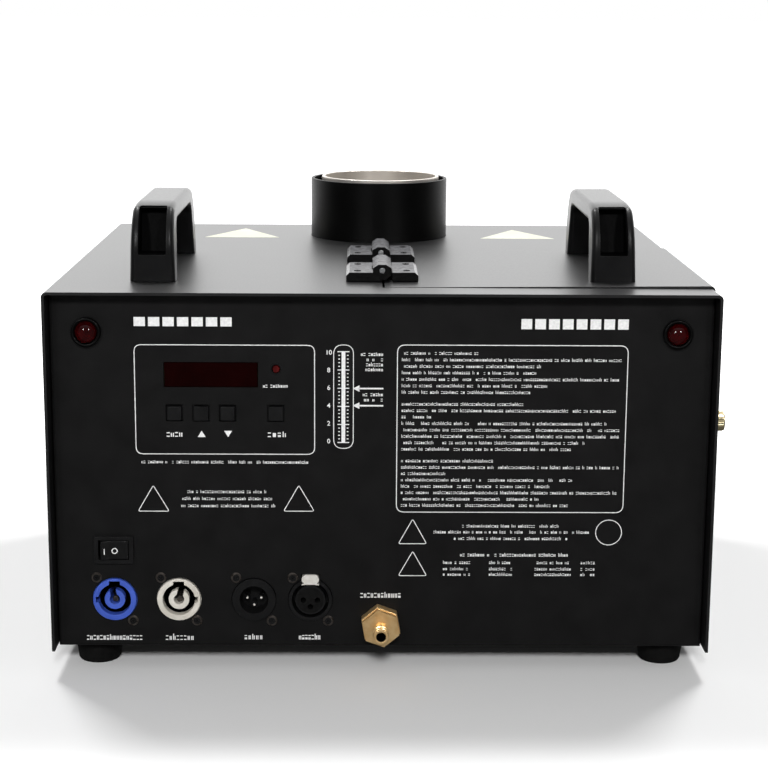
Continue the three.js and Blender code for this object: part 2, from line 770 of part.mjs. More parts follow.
// Hexagon about Y with its corner leaning left of upright, as the fitting was tightened
const inlet = {
  lean: THREE.MathUtils.degToRad(10), nut: 6.5, hex: 3, tail: 20, lockNut: 4, play: 0.3,
  tip: 3.5, tipRun: 2.6, waist: 2.9, ridge: 4.5, ridgeRun: 2.2, root: 3.6, nipple: 13, bore: 2.35,
};

function hexSolid(flats, start, end) {
  const corner = clearing(flats / 2, hexagon);
  const points = [];
  for (let i = 0; i < hexagon; i += 1) {
    const angle = Math.PI / 2 + inlet.lean + (i * 2 * Math.PI) / hexagon;
    points.push([corner * Math.cos(angle), corner * Math.sin(angle)]);
  }
  return solid(alongY(polygon(points), start, end));
}

function buildInlet() {
  const back = -seatGap;
  const nutFront = back - inlet.nut;
  const hexBack = nutFront - seatGap;
  const hexFront = hexBack - inlet.hex;
  const shank = inletShank - inlet.play;
  const nut = cut(
    hexSolid(inletFlats, nutFront, back),
    holeY(inletShank, roundSides, 0, 0, nutFront - cutOverrun, cutOverrun),
  );
  piece(fixed, 'gas_inlet_nut', 'brass', geometryOf(nut), 0, panelSetBack, pipeZ);
  const face = -hexFront;
  const end = face + inlet.nipple;
  const groove = end - inlet.tipRun;
  const slope = inlet.ridge - inlet.waist;
  const ridgeFront = groove - slope;
  const ridgeBack = ridgeFront - inlet.ridgeRun;
  const profile = [
    [inlet.bore, -inlet.tail], [shank, -inlet.tail], [shank, face], [inlet.root, face],
    [inlet.root, ridgeBack - slope], [inlet.ridge, ridgeBack], [inlet.ridge, ridgeFront],
    [inlet.waist, groove], [inlet.tip, groove], [inlet.tip, end], [inlet.bore, end],
    [inlet.bore, -inlet.tail],
  ];
  const body = solid(turnedForward(profile, roundSides));
  const lockStart = sheet + seatGap;
  const bore = holeY(inlet.bore, roundSides, 0, 0, hexFront - cutOverrun, inlet.tail);
  const collars = join(
    hexSolid(inletFlats, hexFront, hexBack),
    hexSolid(inletFlats, lockStart, lockStart + inlet.lockNut),
  );
  const fitting = geometryOf(join(body, collars.subtract(bore)));
  piece(fixed, 'gas_inlet_fitting', 'brass', fitting, 0, panelSetBack, pipeZ);
}

// Pipes from the inlet and from the canister's coupler to their valves
const coupler = { socket: 5, socketDepth: 10, port: 5, portReach: 4 };

function buildPipes() {
  const end = chimneyY - manifoldDepth / 2 - valve.portReach - seatGap;
  const bendRun = 24;
  const straight = 6;
  const behindShield = shieldY + sheet + pipeRadius;
  const bendEnd = Math.min(behindShield + bendRun, end - straight);
  const inletEnd = panelSetBack + inlet.tail + seatGap;
  const propane = [
    [0, inletEnd, pipeZ], [0, (inletEnd + shieldY) / 2, pipeZ], [0, shieldY - straight, pipeZ],
    [0, shieldY, pipeZ], [0, behindShield, pipeZ],
    [-valveX / 2, (behindShield + bendEnd) / 2, pipeZ], [-valveX, bendEnd, pipeZ], [-valveX, end, pipeZ],
  ];
  piece(fixed, 'propane_line', 'copper', pipe(propane));
  const start = cradleY + couplerRadius + coupler.portReach + seatGap;
  const turnStart = cradleY + canisterRadius + straight;
  const turnEnd = shieldY - straight;
  const canister = [
    [cradleX, start, pipeZ], [cradleX, turnStart - straight, pipeZ], [cradleX, turnStart, pipeZ],
    [(cradleX + valveX) / 2, (turnStart + turnEnd) / 2, pipeZ],
    [valveX, turnEnd, pipeZ], [valveX, shieldY, pipeZ], [valveX, behindShield, pipeZ],
    [valveX, end, pipeZ],
  ];
  piece(fixed, 'canister_line', 'copper', pipe(canister));
}

// Canister bay: walls, the cup that holds the canister upside down, and its coupler
function buildBay() {
  const top = ceiling - seatGap;
  const foot = 12;
  const wallStart = panelBack + panelFlange + seatGap;
  const wallEnd = shieldY - seatGap;
  const right = partitionX;
  const left = partitionX - sheet;
  const footLeft = left - foot;
  const wall = polygon([
    [footLeft, bayFloor], [right, bayFloor], [right, top], [left, top],
    [left, bayFloor + sheet], [footLeft, bayFloor + sheet],
  ]);
  piece(fixed, 'partition_wall', 'zincSteel', alongY(wall, wallStart, wallEnd));

  const reach = insideHalf - seatGap;
  const grommet = 1;
  const plateHalf = reach - sheet - seatGap;
  const plate = block(-plateHalf, plateHalf, shieldY, shieldY + sheet, bayFloor, top);
  const past = shieldY + sheet + cutOverrun;
  const holes = [0, valveX].map((x) => (
    holeY(pipeRadius + grommet, roundSides, x, pipeZ, shieldY - cutOverrun, past)
  ));
  piece(fixed, 'heat_shield', 'zincSteel', geometryOf(cut(plate, ...holes)));

  const outer = canisterRadius + sheet;
  const cupFloor = bayFloor + sheet;
  const cup = [
    [0, bayFloor], [outer, bayFloor], [outer, bayFloor + cradleHeight],
    [canisterRadius, bayFloor + cradleHeight], [canisterRadius, cupFloor], [0, cupFloor],
  ];
  const passage = holeY(pipeRadius + grommet, roundSides, 0, pipeZ, canisterRadius / 2, outer + cutOverrun);
  const cradle = cut(solid(turned(cup, ringSides)), passage);
  piece(fixed, 'canister_cradle', 'zincSteel', geometryOf(cradle), cradleX, cradleY, 0);

  const seat = cupFloor + seatGap;
  const socket = seat + couplerHeight - coupler.socketDepth;
  const portEnd = couplerRadius + coupler.portReach;
  const barrel = [
    [0, seat], [couplerRadius, seat], [couplerRadius, seat + couplerHeight],
    [coupler.socket, seat + couplerHeight], [coupler.socket, socket], [0, socket],
  ];
  const port = solid(turnedForward(rodProfile(coupler.port, -portEnd, -coupler.port), roundSides));
  const body = join(solid(turned(barrel, roundSides)), port.translate([0, 0, pipeZ]));
  const inletBore = holeY(pipeRadius, pipeSides, 0, pipeZ, couplerRadius, portEnd + cutOverrun);
  const whole = geometryOf(cut(body, inletBore));
  piece(fixed, 'canister_coupler', 'brass', whole, cradleX, cradleY, 0);
}

// Electrics behind the panel: supply, igniter, control board and display board. The igniter
// stands midway between the burner deck and the side, and the supply stands in front of it.
const supply = { width: 92, depth: 64, height: 38, inset: 10, coilGap: 30, lug: 5, lugHeight: 3 };
const coil = { width: 54, depth: 62, height: 44, post: 5, postHeight: 12 };
const board = { thick: 1.6, stand: 6, post: 3, edge: 6, front: 52, rear: 20, foot: 55, height: 95 };
const relay = { width: 15, depth: 19, height: 15, count: 3, gap: 6 };
const chip = { width: 4, depth: 28, height: 28 };

function buildElectrics() {
  const coilX = -(insideHalf + deckReach + coil.width) / 2;
  const coilY = chimneyY - coil.depth / 2;
  const left = supply.inset - insideHalf;
  const right = left + supply.width;
  const back = coilY - supply.coilGap - supply.lug;
  const front = back - supply.depth;
  const base = block(left, right, front - supply.lug, back + supply.lug, 0, supply.lugHeight);
  const box = block(left, right, front, back, 0, supply.height);
  piece(fixed, 'power_supply', 'zincSteel', geometryOf(join(base, box)), 0, 0, bayFloor);

  const body = block(coilX, coilX + coil.width, coilY, coilY + coil.depth, 0, coil.height);
  const postShares = [0.3, 0.7];
  const postX = coilX + coil.width - 2 * coil.post;
  const post = rodProfile(coil.post, coil.height - coil.post, coil.height + coil.postHeight);
  const posts = postShares.map((share) => (
    solid(turned(post, smallSides)).translate([postX, coilY + share * coil.depth, 0])
  ));
  const igniter = geometryOf(join(body, ...posts));
  piece(fixed, 'ignition_transformer', 'coilResin', igniter, 0, 0, bayFloor);

  const boardRight = partitionX - sheet - board.stand;
  const boardLeft = boardRight - board.thick;
  const boardBack = shieldY - board.rear;
  const boardTop = board.foot + board.height;
  const parts = [block(boardLeft, boardRight, board.front, boardBack, board.foot, boardTop)];
  const standEnd = partitionX - sheet - seatGap;
  for (const y of [board.front + board.edge, boardBack - board.edge]) {
    for (const z of [board.foot + board.edge, boardTop - board.edge]) {
      const stand = block(boardLeft, standEnd, -board.post, board.post, -board.post, board.post);
      parts.push(stand.translate([0, y, z]));
    }
  }
  for (let i = 0; i < relay.count; i += 1) {
    const y = board.front + 2 * board.edge + i * (relay.depth + relay.gap);
    const z = board.foot + 2 * board.edge;
    parts.push(block(boardLeft - relay.width, boardLeft, y, y + relay.depth, z, z + relay.height));
  }
  const chipY = (board.front + boardBack) / 2;
  const chipZ = (board.foot + boardTop) / 2;
  const controller = block(boardLeft - chip.width, boardLeft, 0, chip.depth, 0, chip.height);
  parts.push(controller.translate([0, chipY, chipZ]));
  piece(fixed, 'control_board', 'circuitBoard', geometryOf(join(...parts)));
}

const display = {
  board: 9, thick: 1.6, edge: 11, post: 2.4, keyHeight: 3, keySize: 6, moduleInset: 1,
};
const pane = { recess: 0.3, thick: 2 };

function buildDisplayBoard() {
  const left = modeButtonX - buttonSize / 2 - display.edge;
  const right = resetButtonX + buttonSize / 2 + display.edge;
  const low = buttonZ - buttonSize / 2 - display.edge / 2;
  const high = windowZ + windowHeight / 2 + display.edge;
  const front = display.board;
  const parts = [block(left, right, front, front + display.thick, low, high)];
  const post = display.post;
  const postStart = sheet + seatGap;
  for (const x of [left + post, right - post]) {
    for (const z of [low + post, high - post]) {
      parts.push(block(x - post, x + post, postStart, front + display.thick, z - post, z + post));
    }
  }
  const reach = windowWidth / 2 - display.moduleInset;
  const rise = windowHeight / 2 - display.moduleInset;
  const moduleFront = pane.recess + pane.thick + seatGap;
  const over = display.thick / 2;
  const digits = block(-reach, reach, moduleFront, front + over, -rise, rise);
  parts.push(digits.translate([windowX, 0, windowZ]));
  const key = display.keySize / 2;
  for (const [, x] of buttons) {
    const keyFront = front - display.keyHeight;
    parts.push(block(x - key, x + key, keyFront, front + over, buttonZ - key, buttonZ + key));
  }
  piece(fixed, 'display_board', 'circuitBoard', geometryOf(join(...parts)), 0, panelSetBack, 0);

  const paneWide = windowWidth / 2;
  const paneTall = windowHeight / 2;
  const paneBack = pane.recess + pane.thick;
  const glass = block(-paneWide, paneWide, pane.recess, paneBack, -paneTall, paneTall);
  const at = [windowX, panelSetBack, windowZ];
  piece(fixed, 'display_window', 'redLens', geometryOf(glass), ...at);
  const domeShares = [[1, 0], [0.8, 0.5], [0, 0.75]];
  const base = seatGap - display.board;
  const dome = domeShares.map(([across, up]) => [ledRadius * across, ledRadius * up]);
  const domed = [[0, base], [ledRadius, base], ...dome];
  piece(fixed, 'signal_led', 'redLens', turnedForward(domed, smallSides), ledX, panelSetBack, ledZ);
}

const button = { flange: 1, flangeThick: 1, stem: 2, travel: 1 };

function buildButtons() {
  const half = buttonSize / 2;
  const wide = half + button.flange;
  const flangeStart = sheet + slideGap;
  const flangeEnd = flangeStart + button.flangeThick;
  const stemEnd = display.board - display.keyHeight - button.travel - seatGap;
  const cap = block(-half, half, -buttonProud, flangeEnd, -half, half);
  const rim = block(-wide, wide, flangeStart, flangeEnd, -wide, wide);
  const stem = solid(turnedForward(rodProfile(button.stem, -stemEnd, -flangeStart), smallSides));
  const shape = geometryOf(join(cap, rim, stem));
  for (const [name, x] of buttons) {
    piece(fixed, name, 'blackPlastic', shape.clone(), x, panelSetBack, buttonZ);
  }
}

// Rocker switch: a case in the panel, and a rocker on two trunnions along Z
const rockerCase = {
  width: 18.8, height: 12.8, depth: 18, bezel: 1.6, pocket: 16.2, pocketTall: 10.8, pocketDeep: 7.5,
};
const rocker = {
  length: 14.6, tall: 10.2, pivot: 0.6, front: 3.6, dish: 1.4, back: 1.2, keel: 4.5, keelWidth: 6,
  trunnion: 1.1, trunnionReach: 0.45, socketDeep: 0.7, tilt: THREE.MathUtils.degToRad(10),
};

function buildSwitch() {
  const w = rockerCase.width / 2;
  const h = rockerCase.height / 2;
  const bezelBack = -seatGap;
  const bezelFront = bezelBack - rockerCase.bezel;
  const body = block(-w, w, bezelFront, rockerCase.depth, -h, h);
  const bw = switchWidth / 2;
  const bh = switchTall / 2;
  const bezel = block(-bw, bw, bezelFront, bezelBack, -bh, bh);
  const pw = rockerCase.pocket / 2;
  const ph = rockerCase.pocketTall / 2;
  const pocket = block(-pw, pw, bezelFront - cutOverrun, rockerCase.pocketDeep, -ph, ph);
  const socketReach = ph + rocker.socketDeep;
  const socketRadius = rocker.trunnion + pinGap;
  const socket = holeZ(socketRadius, smallSides, 0, rocker.pivot, -socketReach, socketReach);
  const at = [switchX, panelSetBack, switchZ];
  const shape = geometryOf(cut(join(body, bezel), pocket, socket));
  piece(fixed, 'power_switch_body', 'blackPlastic', shape, ...at);

  const end = rocker.length / 2;
  const half = rocker.tall / 2;
  const keel = rocker.keelWidth / 2;
  const outline = polygon([
    [-end, -rocker.front], [0, rocker.dish - rocker.front], [end, -rocker.front],
    [end, rocker.back], [keel, rocker.keel], [-keel, rocker.keel], [-end, rocker.back],
  ]);
  const reach = ph + rocker.trunnionReach;
  const pin = solid(turned(rodProfile(rocker.trunnion, -reach, reach), smallSides));
  const lever = geometryOf(join(solid(alongZ(outline, -half, half)), pin));
  const pivotY = panelSetBack + rocker.pivot;
  const mesh = piece(fixed, 'power_switch_rocker', 'blackPlastic', lever, switchX, pivotY, switchZ);
  mesh.rotation.z = rocker.tilt;
}

// Sockets: round bodies through the panel on flanges behind it
const socket = {
  flangeWidth: 26, flangeTall: 31, flangeThick: 2, cup: 8.7, cupDepth: 15, boss: 5.55, bossDrop: 2.5,
  key: 2.75, keyDepth: 12, keySlot: 3.2, notch: 5, notchRise: 1.5, notchDepth: 6,
};
const signal = {
  cup: 7.7, cupDepth: 12, pin: 1.2, pinPitch: 3.75, pinDrop: 4.6, groove: 9.9, insert: 8.1, hole: 1.5,
};
const tab = { width: 9.6, height: 5.9, offset: 10.8, proud: 1.5, depth: 6, travel: 1.2 };

function socketBody() {
  const profile = rodProfile(connectorRadius, -connectorLength, connectorProud);
  const barrel = solid(turnedForward(profile, socketSides));
  const w = socket.flangeWidth / 2;
  const h = socket.flangeTall / 2;
  const start = sheet + seatGap;
  return join(barrel, block(-w, w, start, start + socket.flangeThick, -h, h));
}

function buildPowerSocket(name, finish, x, side) {
  const front = connectorProud + cutOverrun;
  const ring = ringProfile(socket.boss, socket.cup, connectorProud - socket.cupDepth, front);
  const bossFront = connectorProud - socket.bossDrop;
  const boss = rodProfile(socket.cup, bossFront, front);
  const keyEnd = connectorProud - socket.keyDepth;
  const key = rodProfile(socket.key, keyEnd, front);
  const slot = socket.keySlot / 2;
  const notch = socket.notch / 2;
  const rim = socket.cup + socket.notchRise;
  const notchBack = socket.notchDepth - connectorProud;
  const tools = [
    solid(turnedForward(ring, socketSides)),
    solid(turnedForward(boss, socketSides)),
    solid(turnedForward(key, smallSides)),
    block(-slot, slot, -front, -keyEnd, 0, socket.cup),
    block(-notch, notch, -front, notchBack, socket.boss, rim),
    side < 0
      ? block(-rim, -socket.boss, -front, notchBack, -slot, slot)
      : block(socket.boss, rim, -front, notchBack, -slot, slot),
  ];
  piece(fixed, name, finish, geometryOf(cut(socketBody(), ...tools)), x, panelSetBack, connectorZ);
}

function signalPlaces() {
  return [[-signal.pinPitch, 0], [signal.pinPitch, 0], [0, -signal.pinPitch]];
}

function buildSignalSockets() {
  const front = connectorProud + cutOverrun;
  const floor = connectorProud - signal.cupDepth;
  const cup = solid(turnedForward(rodProfile(signal.cup, floor, front), socketSides));
  const pinTop = connectorProud - signal.pinDrop;
  let inBody = socketBody().subtract(cup);
  for (const [x, z] of signalPlaces()) {
    const pin = solid(turnedForward(rodProfile(signal.pin, floor - signal.pin, pinTop), smallSides));
    inBody = inBody.add(pin.translate([x, 0, z]));
  }
  const inName = 'signal_in_socket';
  piece(fixed, inName, 'blackPlastic', geometryOf(inBody), signalInX, panelSetBack, connectorZ);

  const ring = ringProfile(signal.insert, signal.groove, floor, front);
  const groove = solid(turnedForward(ring, socketSides));
  const slotHalf = tab.width / 2 + slideGap;
  const slotLow = tab.offset - tab.height / 2 - slideGap;
  const slotHigh = tab.offset + tab.height / 2 + slideGap;
  const slotBack = tab.depth + tab.travel + seatGap;
  const slot = block(-slotHalf, slotHalf, -front, slotBack, slotLow, slotHigh);
  let outBody = cut(socketBody(), groove, slot);
  for (const [x, z] of signalPlaces()) {
    outBody = outBody.subtract(holeY(signal.hole, smallSides, x, z, -front, -floor));
  }
  const outName = 'signal_out_socket';
  piece(fixed, outName, 'blackPlastic', geometryOf(outBody), signalOutX, panelSetBack, connectorZ);

  const half = tab.width / 2;
  const tall = tab.height / 2;
  const plate = block(-half, half, -connectorProud - tab.proud, tab.depth, -tall, tall);
  const tabZ = connectorZ + tab.offset;
  piece(fixed, 'signal_out_release_tab', 'zincSteel', geometryOf(plate), signalOutX, panelSetBack, tabZ);
}

// Lamps: a round bezel with a shank through the panel, and a domed red lens in its cup
const lamp = {
  shank: 12, cupFloor: 1.3, proud: 3.3, soft: 0.8, bore: 4.3, stem: 8, skirt: 3.2, dome: 3,
};

function buildLamps() {
  const cup = lensRadius + slideGap;
  const bezel = [
    [lamp.bore, -lamp.shank], [lensRadius, -lamp.shank], [lensRadius, seatGap],
    [lampRadius, seatGap], [lampRadius, lamp.proud - lamp.soft], [lampRadius - lamp.soft, lamp.proud],
    [cup, lamp.proud], [cup, lamp.cupFloor], [lamp.bore, lamp.cupFloor], [lamp.bore, -lamp.shank],
  ];
  const stem = lamp.bore - slideGap;
  const skirt = lamp.cupFloor + seatGap;
  const lens = [[0, -lamp.stem], [stem, -lamp.stem], [stem, skirt], [lensRadius, skirt]];
  for (let i = 0; i <= bendSteps; i += 1) {
    const angle = (i / bendSteps) * (Math.PI / 2);
    const radius = i === bendSteps ? 0 : lensRadius * Math.cos(angle);
    lens.push([radius, lamp.skirt + lamp.dome * Math.sin(angle)]);
  }
  for (const [side, x] of [['left', -lampX], ['right', lampX]]) {
    const at = [x, panelSetBack, lampZ];
    piece(fixed, `${side}_lamp_bezel`, 'blackPlastic', turnedForward(bezel, roundSides), ...at);
    piece(fixed, `${side}_lamp_lens`, 'redLens', turnedForward(lens, roundSides), ...at);
  }
}

buildCover();
buildTray();
buildFrontPanel();
buildRearPanel();
buildFeet();
buildHandles();
buildHinges();
buildLid();
buildLatch();
buildChimney();
buildBurner();
buildManifold();
buildValve('propane_valve', 'propane_plunger', -1);
buildValve('canister_valve', 'canister_plunger', 1);
buildInlet();
buildPipes();
buildBay();
buildElectrics();
buildDisplayBoard();
buildButtons();
buildSwitch();
buildPowerSocket('power_in_socket', 'bluePlastic', powerInX, -1);
buildPowerSocket('power_out_socket', 'greyPlastic', powerOutX, 1);
buildSignalSockets();
buildLamps();

// The lid stands a little open at rest: its group turns about the hinge pins.
const hingeLine = new THREE.Group();
hingeLine.position.set(0, 0, hingeAxisZ);
hingeLine.rotation.y = -lidAjar;
lid.position.set(0, 0, -hingeAxisZ);
hingeLine.add(lid);
machine.add(hingeLine);

// The whole is set over the middle of its own outline, from the fitting's tip to the back.
machine.updateMatrixWorld(true);
const outlineBox = new THREE.Box3().setFromObject(machine, true);
const middle = outlineBox.getCenter(new THREE.Vector3());
machine.position.set(-middle.x, -middle.y, 0);

export default machine;
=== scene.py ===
import json
import math

import bmesh
import bpy
from mathutils import Matrix, Vector

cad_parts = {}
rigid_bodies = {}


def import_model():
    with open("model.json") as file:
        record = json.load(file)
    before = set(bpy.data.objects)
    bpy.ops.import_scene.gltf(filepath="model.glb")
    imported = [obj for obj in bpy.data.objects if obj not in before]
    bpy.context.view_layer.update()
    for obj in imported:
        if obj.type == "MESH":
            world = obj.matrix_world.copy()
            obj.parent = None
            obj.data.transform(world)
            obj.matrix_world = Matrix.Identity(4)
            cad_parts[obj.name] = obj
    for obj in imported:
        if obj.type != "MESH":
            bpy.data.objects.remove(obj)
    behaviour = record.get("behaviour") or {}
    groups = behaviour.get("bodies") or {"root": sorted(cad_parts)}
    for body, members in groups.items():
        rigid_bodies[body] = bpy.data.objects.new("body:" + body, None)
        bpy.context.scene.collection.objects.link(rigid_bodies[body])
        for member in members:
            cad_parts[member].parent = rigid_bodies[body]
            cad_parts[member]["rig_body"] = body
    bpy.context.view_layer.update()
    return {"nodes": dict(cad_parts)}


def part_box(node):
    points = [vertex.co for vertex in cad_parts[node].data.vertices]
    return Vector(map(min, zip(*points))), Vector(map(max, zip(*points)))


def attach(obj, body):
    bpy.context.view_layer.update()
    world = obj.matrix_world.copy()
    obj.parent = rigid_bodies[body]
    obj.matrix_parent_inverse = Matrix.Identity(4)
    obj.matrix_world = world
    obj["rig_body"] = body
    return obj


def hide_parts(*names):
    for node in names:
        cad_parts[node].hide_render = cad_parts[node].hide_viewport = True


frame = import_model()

scene = bpy.context.scene
print("frame loaded:", len(frame["nodes"]), "nodes")

# Shapes are drawn in millimetres: x 0 on the casing's centre line, y 0 at the cover's
# front edge and z 0 on the ground. toFrame carries them to metres in the shared frame.
coverLow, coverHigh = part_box("cover_shell")
casingX = (coverLow.x + coverHigh.x) / 2
toFrame = Matrix.Translation((casingX, coverLow.y, 0)) @ Matrix.Scale(0.001, 4)
fromFrame = toFrame.inverted()


def boxOf(node):
    low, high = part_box(node)
    return fromFrame @ low, fromFrame @ high


def middleOf(node):
    low, high = boxOf(node)
    return (low + high) / 2


casing = {
    "halfWidth": boxOf("cover_shell")[1].x,
    "depth": boxOf("cover_shell")[1].y,
    "foot": boxOf("cover_shell")[0].z,
    "top": boxOf("cover_shell")[1].z,
    "panelFace": boxOf("front_panel")[0].y,
    "sheet": 1.5, "bend": 2.8, "bendSteps": 10, "edge": 0.22, "overrun": 5, "holeDepth": 20,
    "lidFront": 21, "lidRear": 177, "lidSeam": 0.7, "frontSeam": 1.15, "lidDrop": 95,
    "lidAjar": math.radians(0.45),
}

lidHinge = Vector((0, 0, middleOf("front_hinge_pin").z))
lidTurn = Matrix.Rotation(-casing["lidAjar"], 4, "Y")
lidTilt = Matrix.Translation(lidHinge) @ lidTurn @ Matrix.Translation(-lidHinge)


# The spot on the panel's face in front of a node's middle
def facePoint(node):
    centre = middleOf(node)
    return Vector((centre.x, casing["panelFace"], centre.z))


# Mesh helpers

drawnGap, cadGap = 0.0005, 0.002    # corners nearer than this are merged
axisGap = 1e-6                      # a profile's point nearer than this is on the axis


def spot(axis, u, v, level):
    return {"x": (level, u, v), "y": (u, level, v), "z": (u, v, level)}[axis]


def finished(shape):
    bmesh.ops.remove_doubles(shape, verts=shape.verts, dist=drawnGap)
    bmesh.ops.recalc_face_normals(shape, faces=shape.faces)
    return shape


# A closed outline, run along an axis between two levels
def prism(points, axis, low, high):
    shape = bmesh.new()
    rings = [[shape.verts.new(spot(axis, u, v, level)) for u, v in points] for level in (low, high)]
    shape.faces.new(rings[0])
    shape.faces.new(list(reversed(rings[1])))
    count = len(points)
    for i in range(count):
        j = (i + 1) % count
        shape.faces.new((rings[0][i], rings[0][j], rings[1][j], rings[1][i]))
    return finished(shape)


def block(low, high):
    points = [(low[0], low[1]), (high[0], low[1]), (high[0], high[1]), (low[0], high[1])]
    return prism(points, "z", low[2], high[2])


# Each facing's across, along and outward directions
facings = {
    "up": ((1, 0, 0), (0, 1, 0), (0, 0, 1)),
    "front": ((1, 0, 0), (0, 0, 1), (0, -1, 0)),
    "right": ((0, 1, 0), (0, 0, 1), (1, 0, 0)),
}


# A profile of (radius, height), closed on itself or with both ends on the axis
def lathe(profile, facing="up", at=(0, 0, 0), sides=96):
    across, along, out = (Vector(v) for v in facings[facing])
    closed = profile[0] == profile[-1]
    shape = bmesh.new()
    rings = []
    for radius, height in profile[:-1] if closed else profile:
        base = Vector(at) + out * height
        if radius < axisGap:
            rings.append([shape.verts.new(base)])
            continue
        ring = []
        for i in range(sides):
            angle = 2 * math.pi * i / sides
            ring.append(shape.verts.new(base + (across * math.cos(angle) + along * math.sin(angle)) * radius))
        rings.append(ring)
    pairs = list(zip(rings, rings[1:]))
    if closed:
        pairs.append((rings[-1], rings[0]))
    for one, two in pairs:
        for i in range(sides):
            j = (i + 1) % sides
            corners = [one[i % len(one)], one[j % len(one)], two[j % len(two)], two[i % len(two)]]
            unique = list(dict.fromkeys(corners))
            if len(unique) > 2:
                shape.faces.new(unique)
    return finished(shape)


def rod(radius, low, high, facing="up", at=(0, 0, 0), sides=96):
    return lathe([(0, low), (radius, low), (radius, high), (0, high)], facing, at, sides)


# Rounds the corners of an outline or a profile
def soften(points, radius, steps=3, closed=True):
    result = []
    count = len(points)
    for i, corner in enumerate(points):
        here = Vector(corner)
        if not closed and i in (0, count - 1):
            result.append(tuple(here))
            continue
        before = Vector(points[i - 1]) - here
        after = Vector(points[(i + 1) % count]) - here
        reach = min(radius, before.length * 0.48, after.length * 0.48)
        result += bow(here + before.normalized() * reach, here, here + after.normalized() * reach, steps)
    return result


# The points of a bend from start to end that leans towards a control point
def bow(start, control, end, steps):
    start, control, end = Vector(start), Vector(control), Vector(end)
    points = []
    for i in range(steps + 1):
        t = i / steps
        points.append(tuple(start * (1 - t) ** 2 + control * 2 * t * (1 - t) + end * t * t))
    return points


# A ring's closed profile, with rounded corners
def ringProfile(inner, outer, low, high, radius=0.3):
    points = soften([(inner, low), (outer, low), (outer, high), (inner, high)], radius)
    return points + [points[0]]


def circle(radius, sides, x=0, z=0):
    turn = 2 * math.pi / sides
    return [(x + radius * math.cos(i * turn), z + radius * math.sin(i * turn)) for i in range(sides)]


def temporary(shape):
    mesh = bpy.data.meshes.new("temporary")
    shape.to_mesh(mesh)
    shape.free()
    holder = bpy.data.objects.new("temporary", mesh)
    scene.collection.objects.link(holder)
    return holder


def discard(holder):
    mesh = holder.data
    bpy.data.objects.remove(holder)
    bpy.data.meshes.remove(mesh)


# The mesh that the holder's modifiers give, as a bmesh; the holder goes
def settle(holder):
    graph = bpy.context.evaluated_depsgraph_get()
    mesh = bpy.data.meshes.new_from_object(holder.evaluated_get(graph))
    shape = bmesh.new()
    shape.from_mesh(mesh)
    bpy.data.meshes.remove(mesh)
    discard(holder)
    return shape


def carve(body, *cutters):
    holder = temporary(body)
    helpers = [temporary(cutter) for cutter in cutters]
    for helper in helpers:
        modifier = holder.modifiers.new("cut", "BOOLEAN")
        modifier.operation = "DIFFERENCE"
        modifier.solver = "EXACT"
        modifier.object = helper
    shape = settle(holder)
    for helper in helpers:
        discard(helper)
    return shape


def bevelled(shape, width, segments=2, angle=35):
    holder = temporary(shape)
    modifier = holder.modifiers.new("edges", "BEVEL")
    modifier.width = width
    modifier.segments = segments
    modifier.limit_method = "ANGLE"
    modifier.angle_limit = math.radians(angle)
    modifier.miter_outer = "MITER_ARC"
    return settle(holder)


def joined(shapes):
    whole = bmesh.new()
    for shape in shapes:
        mesh = bpy.data.meshes.new("part")
        shape.to_mesh(mesh)
        shape.free()
        whole.from_mesh(mesh)
        bpy.data.meshes.remove(mesh)
    return whole


def moved(shape, by):
    bmesh.ops.translate(shape, verts=shape.verts, vec=by)
    return shape


def addPiece(name, shape, finish, body="chassis", replaced=(), smooth=32, tilt=False):
    mesh = bpy.data.meshes.new(name)
    shape.to_mesh(mesh)
    shape.free()
    material, slotName = finishes[finish]
    mesh.transform(toFrame @ lidTilt if tilt else toFrame)
    mesh.materials.clear()
    mesh.materials.append(material)
    for polygon in mesh.polygons:
        polygon.use_smooth = True
    mesh.set_sharp_from_angle(angle=math.radians(smooth))
    piece = bpy.data.objects.new(name, mesh)
    scene.collection.objects.link(piece)
    even = piece.modifiers.new("even shading", "WEIGHTED_NORMAL")
    even.keep_sharp = True
    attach(piece, body)
    if replaced:
        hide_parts(*replaced)


# A CAD node's own shape in its place, with its facets merged where that suits it
def nodeShape(node, merge=True):
    shape = bmesh.new()
    shape.from_mesh(frame["nodes"][node].data)
    shape.transform(fromFrame)
    bmesh.ops.remove_doubles(shape, verts=shape.verts, dist=cadGap)
    if merge:
        bmesh.ops.dissolve_limit(shape, angle_limit=math.radians(0.8), verts=shape.verts, edges=shape.edges)
    return shape


# Dresses a CAD node: its own shape, changed if asked, with its edges softened
def refine(node, finish, width, change=None, merge=True):
    shape = nodeShape(node, merge)
    if change:
        change(shape)
    if width:
        shape = bevelled(shape, width)
    addPiece(node + "_shape", shape, finish, frame["nodes"][node]["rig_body"], (node,))


# Node helpers

# Sets a node's inputs, each to a value, to another node's output or to a list of outputs
def setInputs(tree, node, *ordered, **named):
    chosen = list(zip(node.inputs, ordered))
    chosen += [(node.inputs[name.replace("_", " ")], value) for name, value in named.items()]
    for socket, value in chosen:
        for part in value if isinstance(value, list) else [value]:
            if isinstance(part, bpy.types.NodeSocket):
                tree.links.new(part, socket)
            else:
                socket.default_value = part


def addNode(tree, kind, *ordered, settings=None, **named):
    node = tree.nodes.new(kind)
    for name, value in (settings or {}).items():
        setattr(node, name, value)
    setInputs(tree, node, *ordered, **named)
    return node


def mathNode(tree, operation, first, second):
    return addNode(tree, "ShaderNodeMath", first, second, settings={"operation": operation}).outputs[0]


def vectorOf(tree, x=0.0, y=0.0, z=0.0):
    return addNode(tree, "ShaderNodeCombineXYZ", x, y, z).outputs[0]


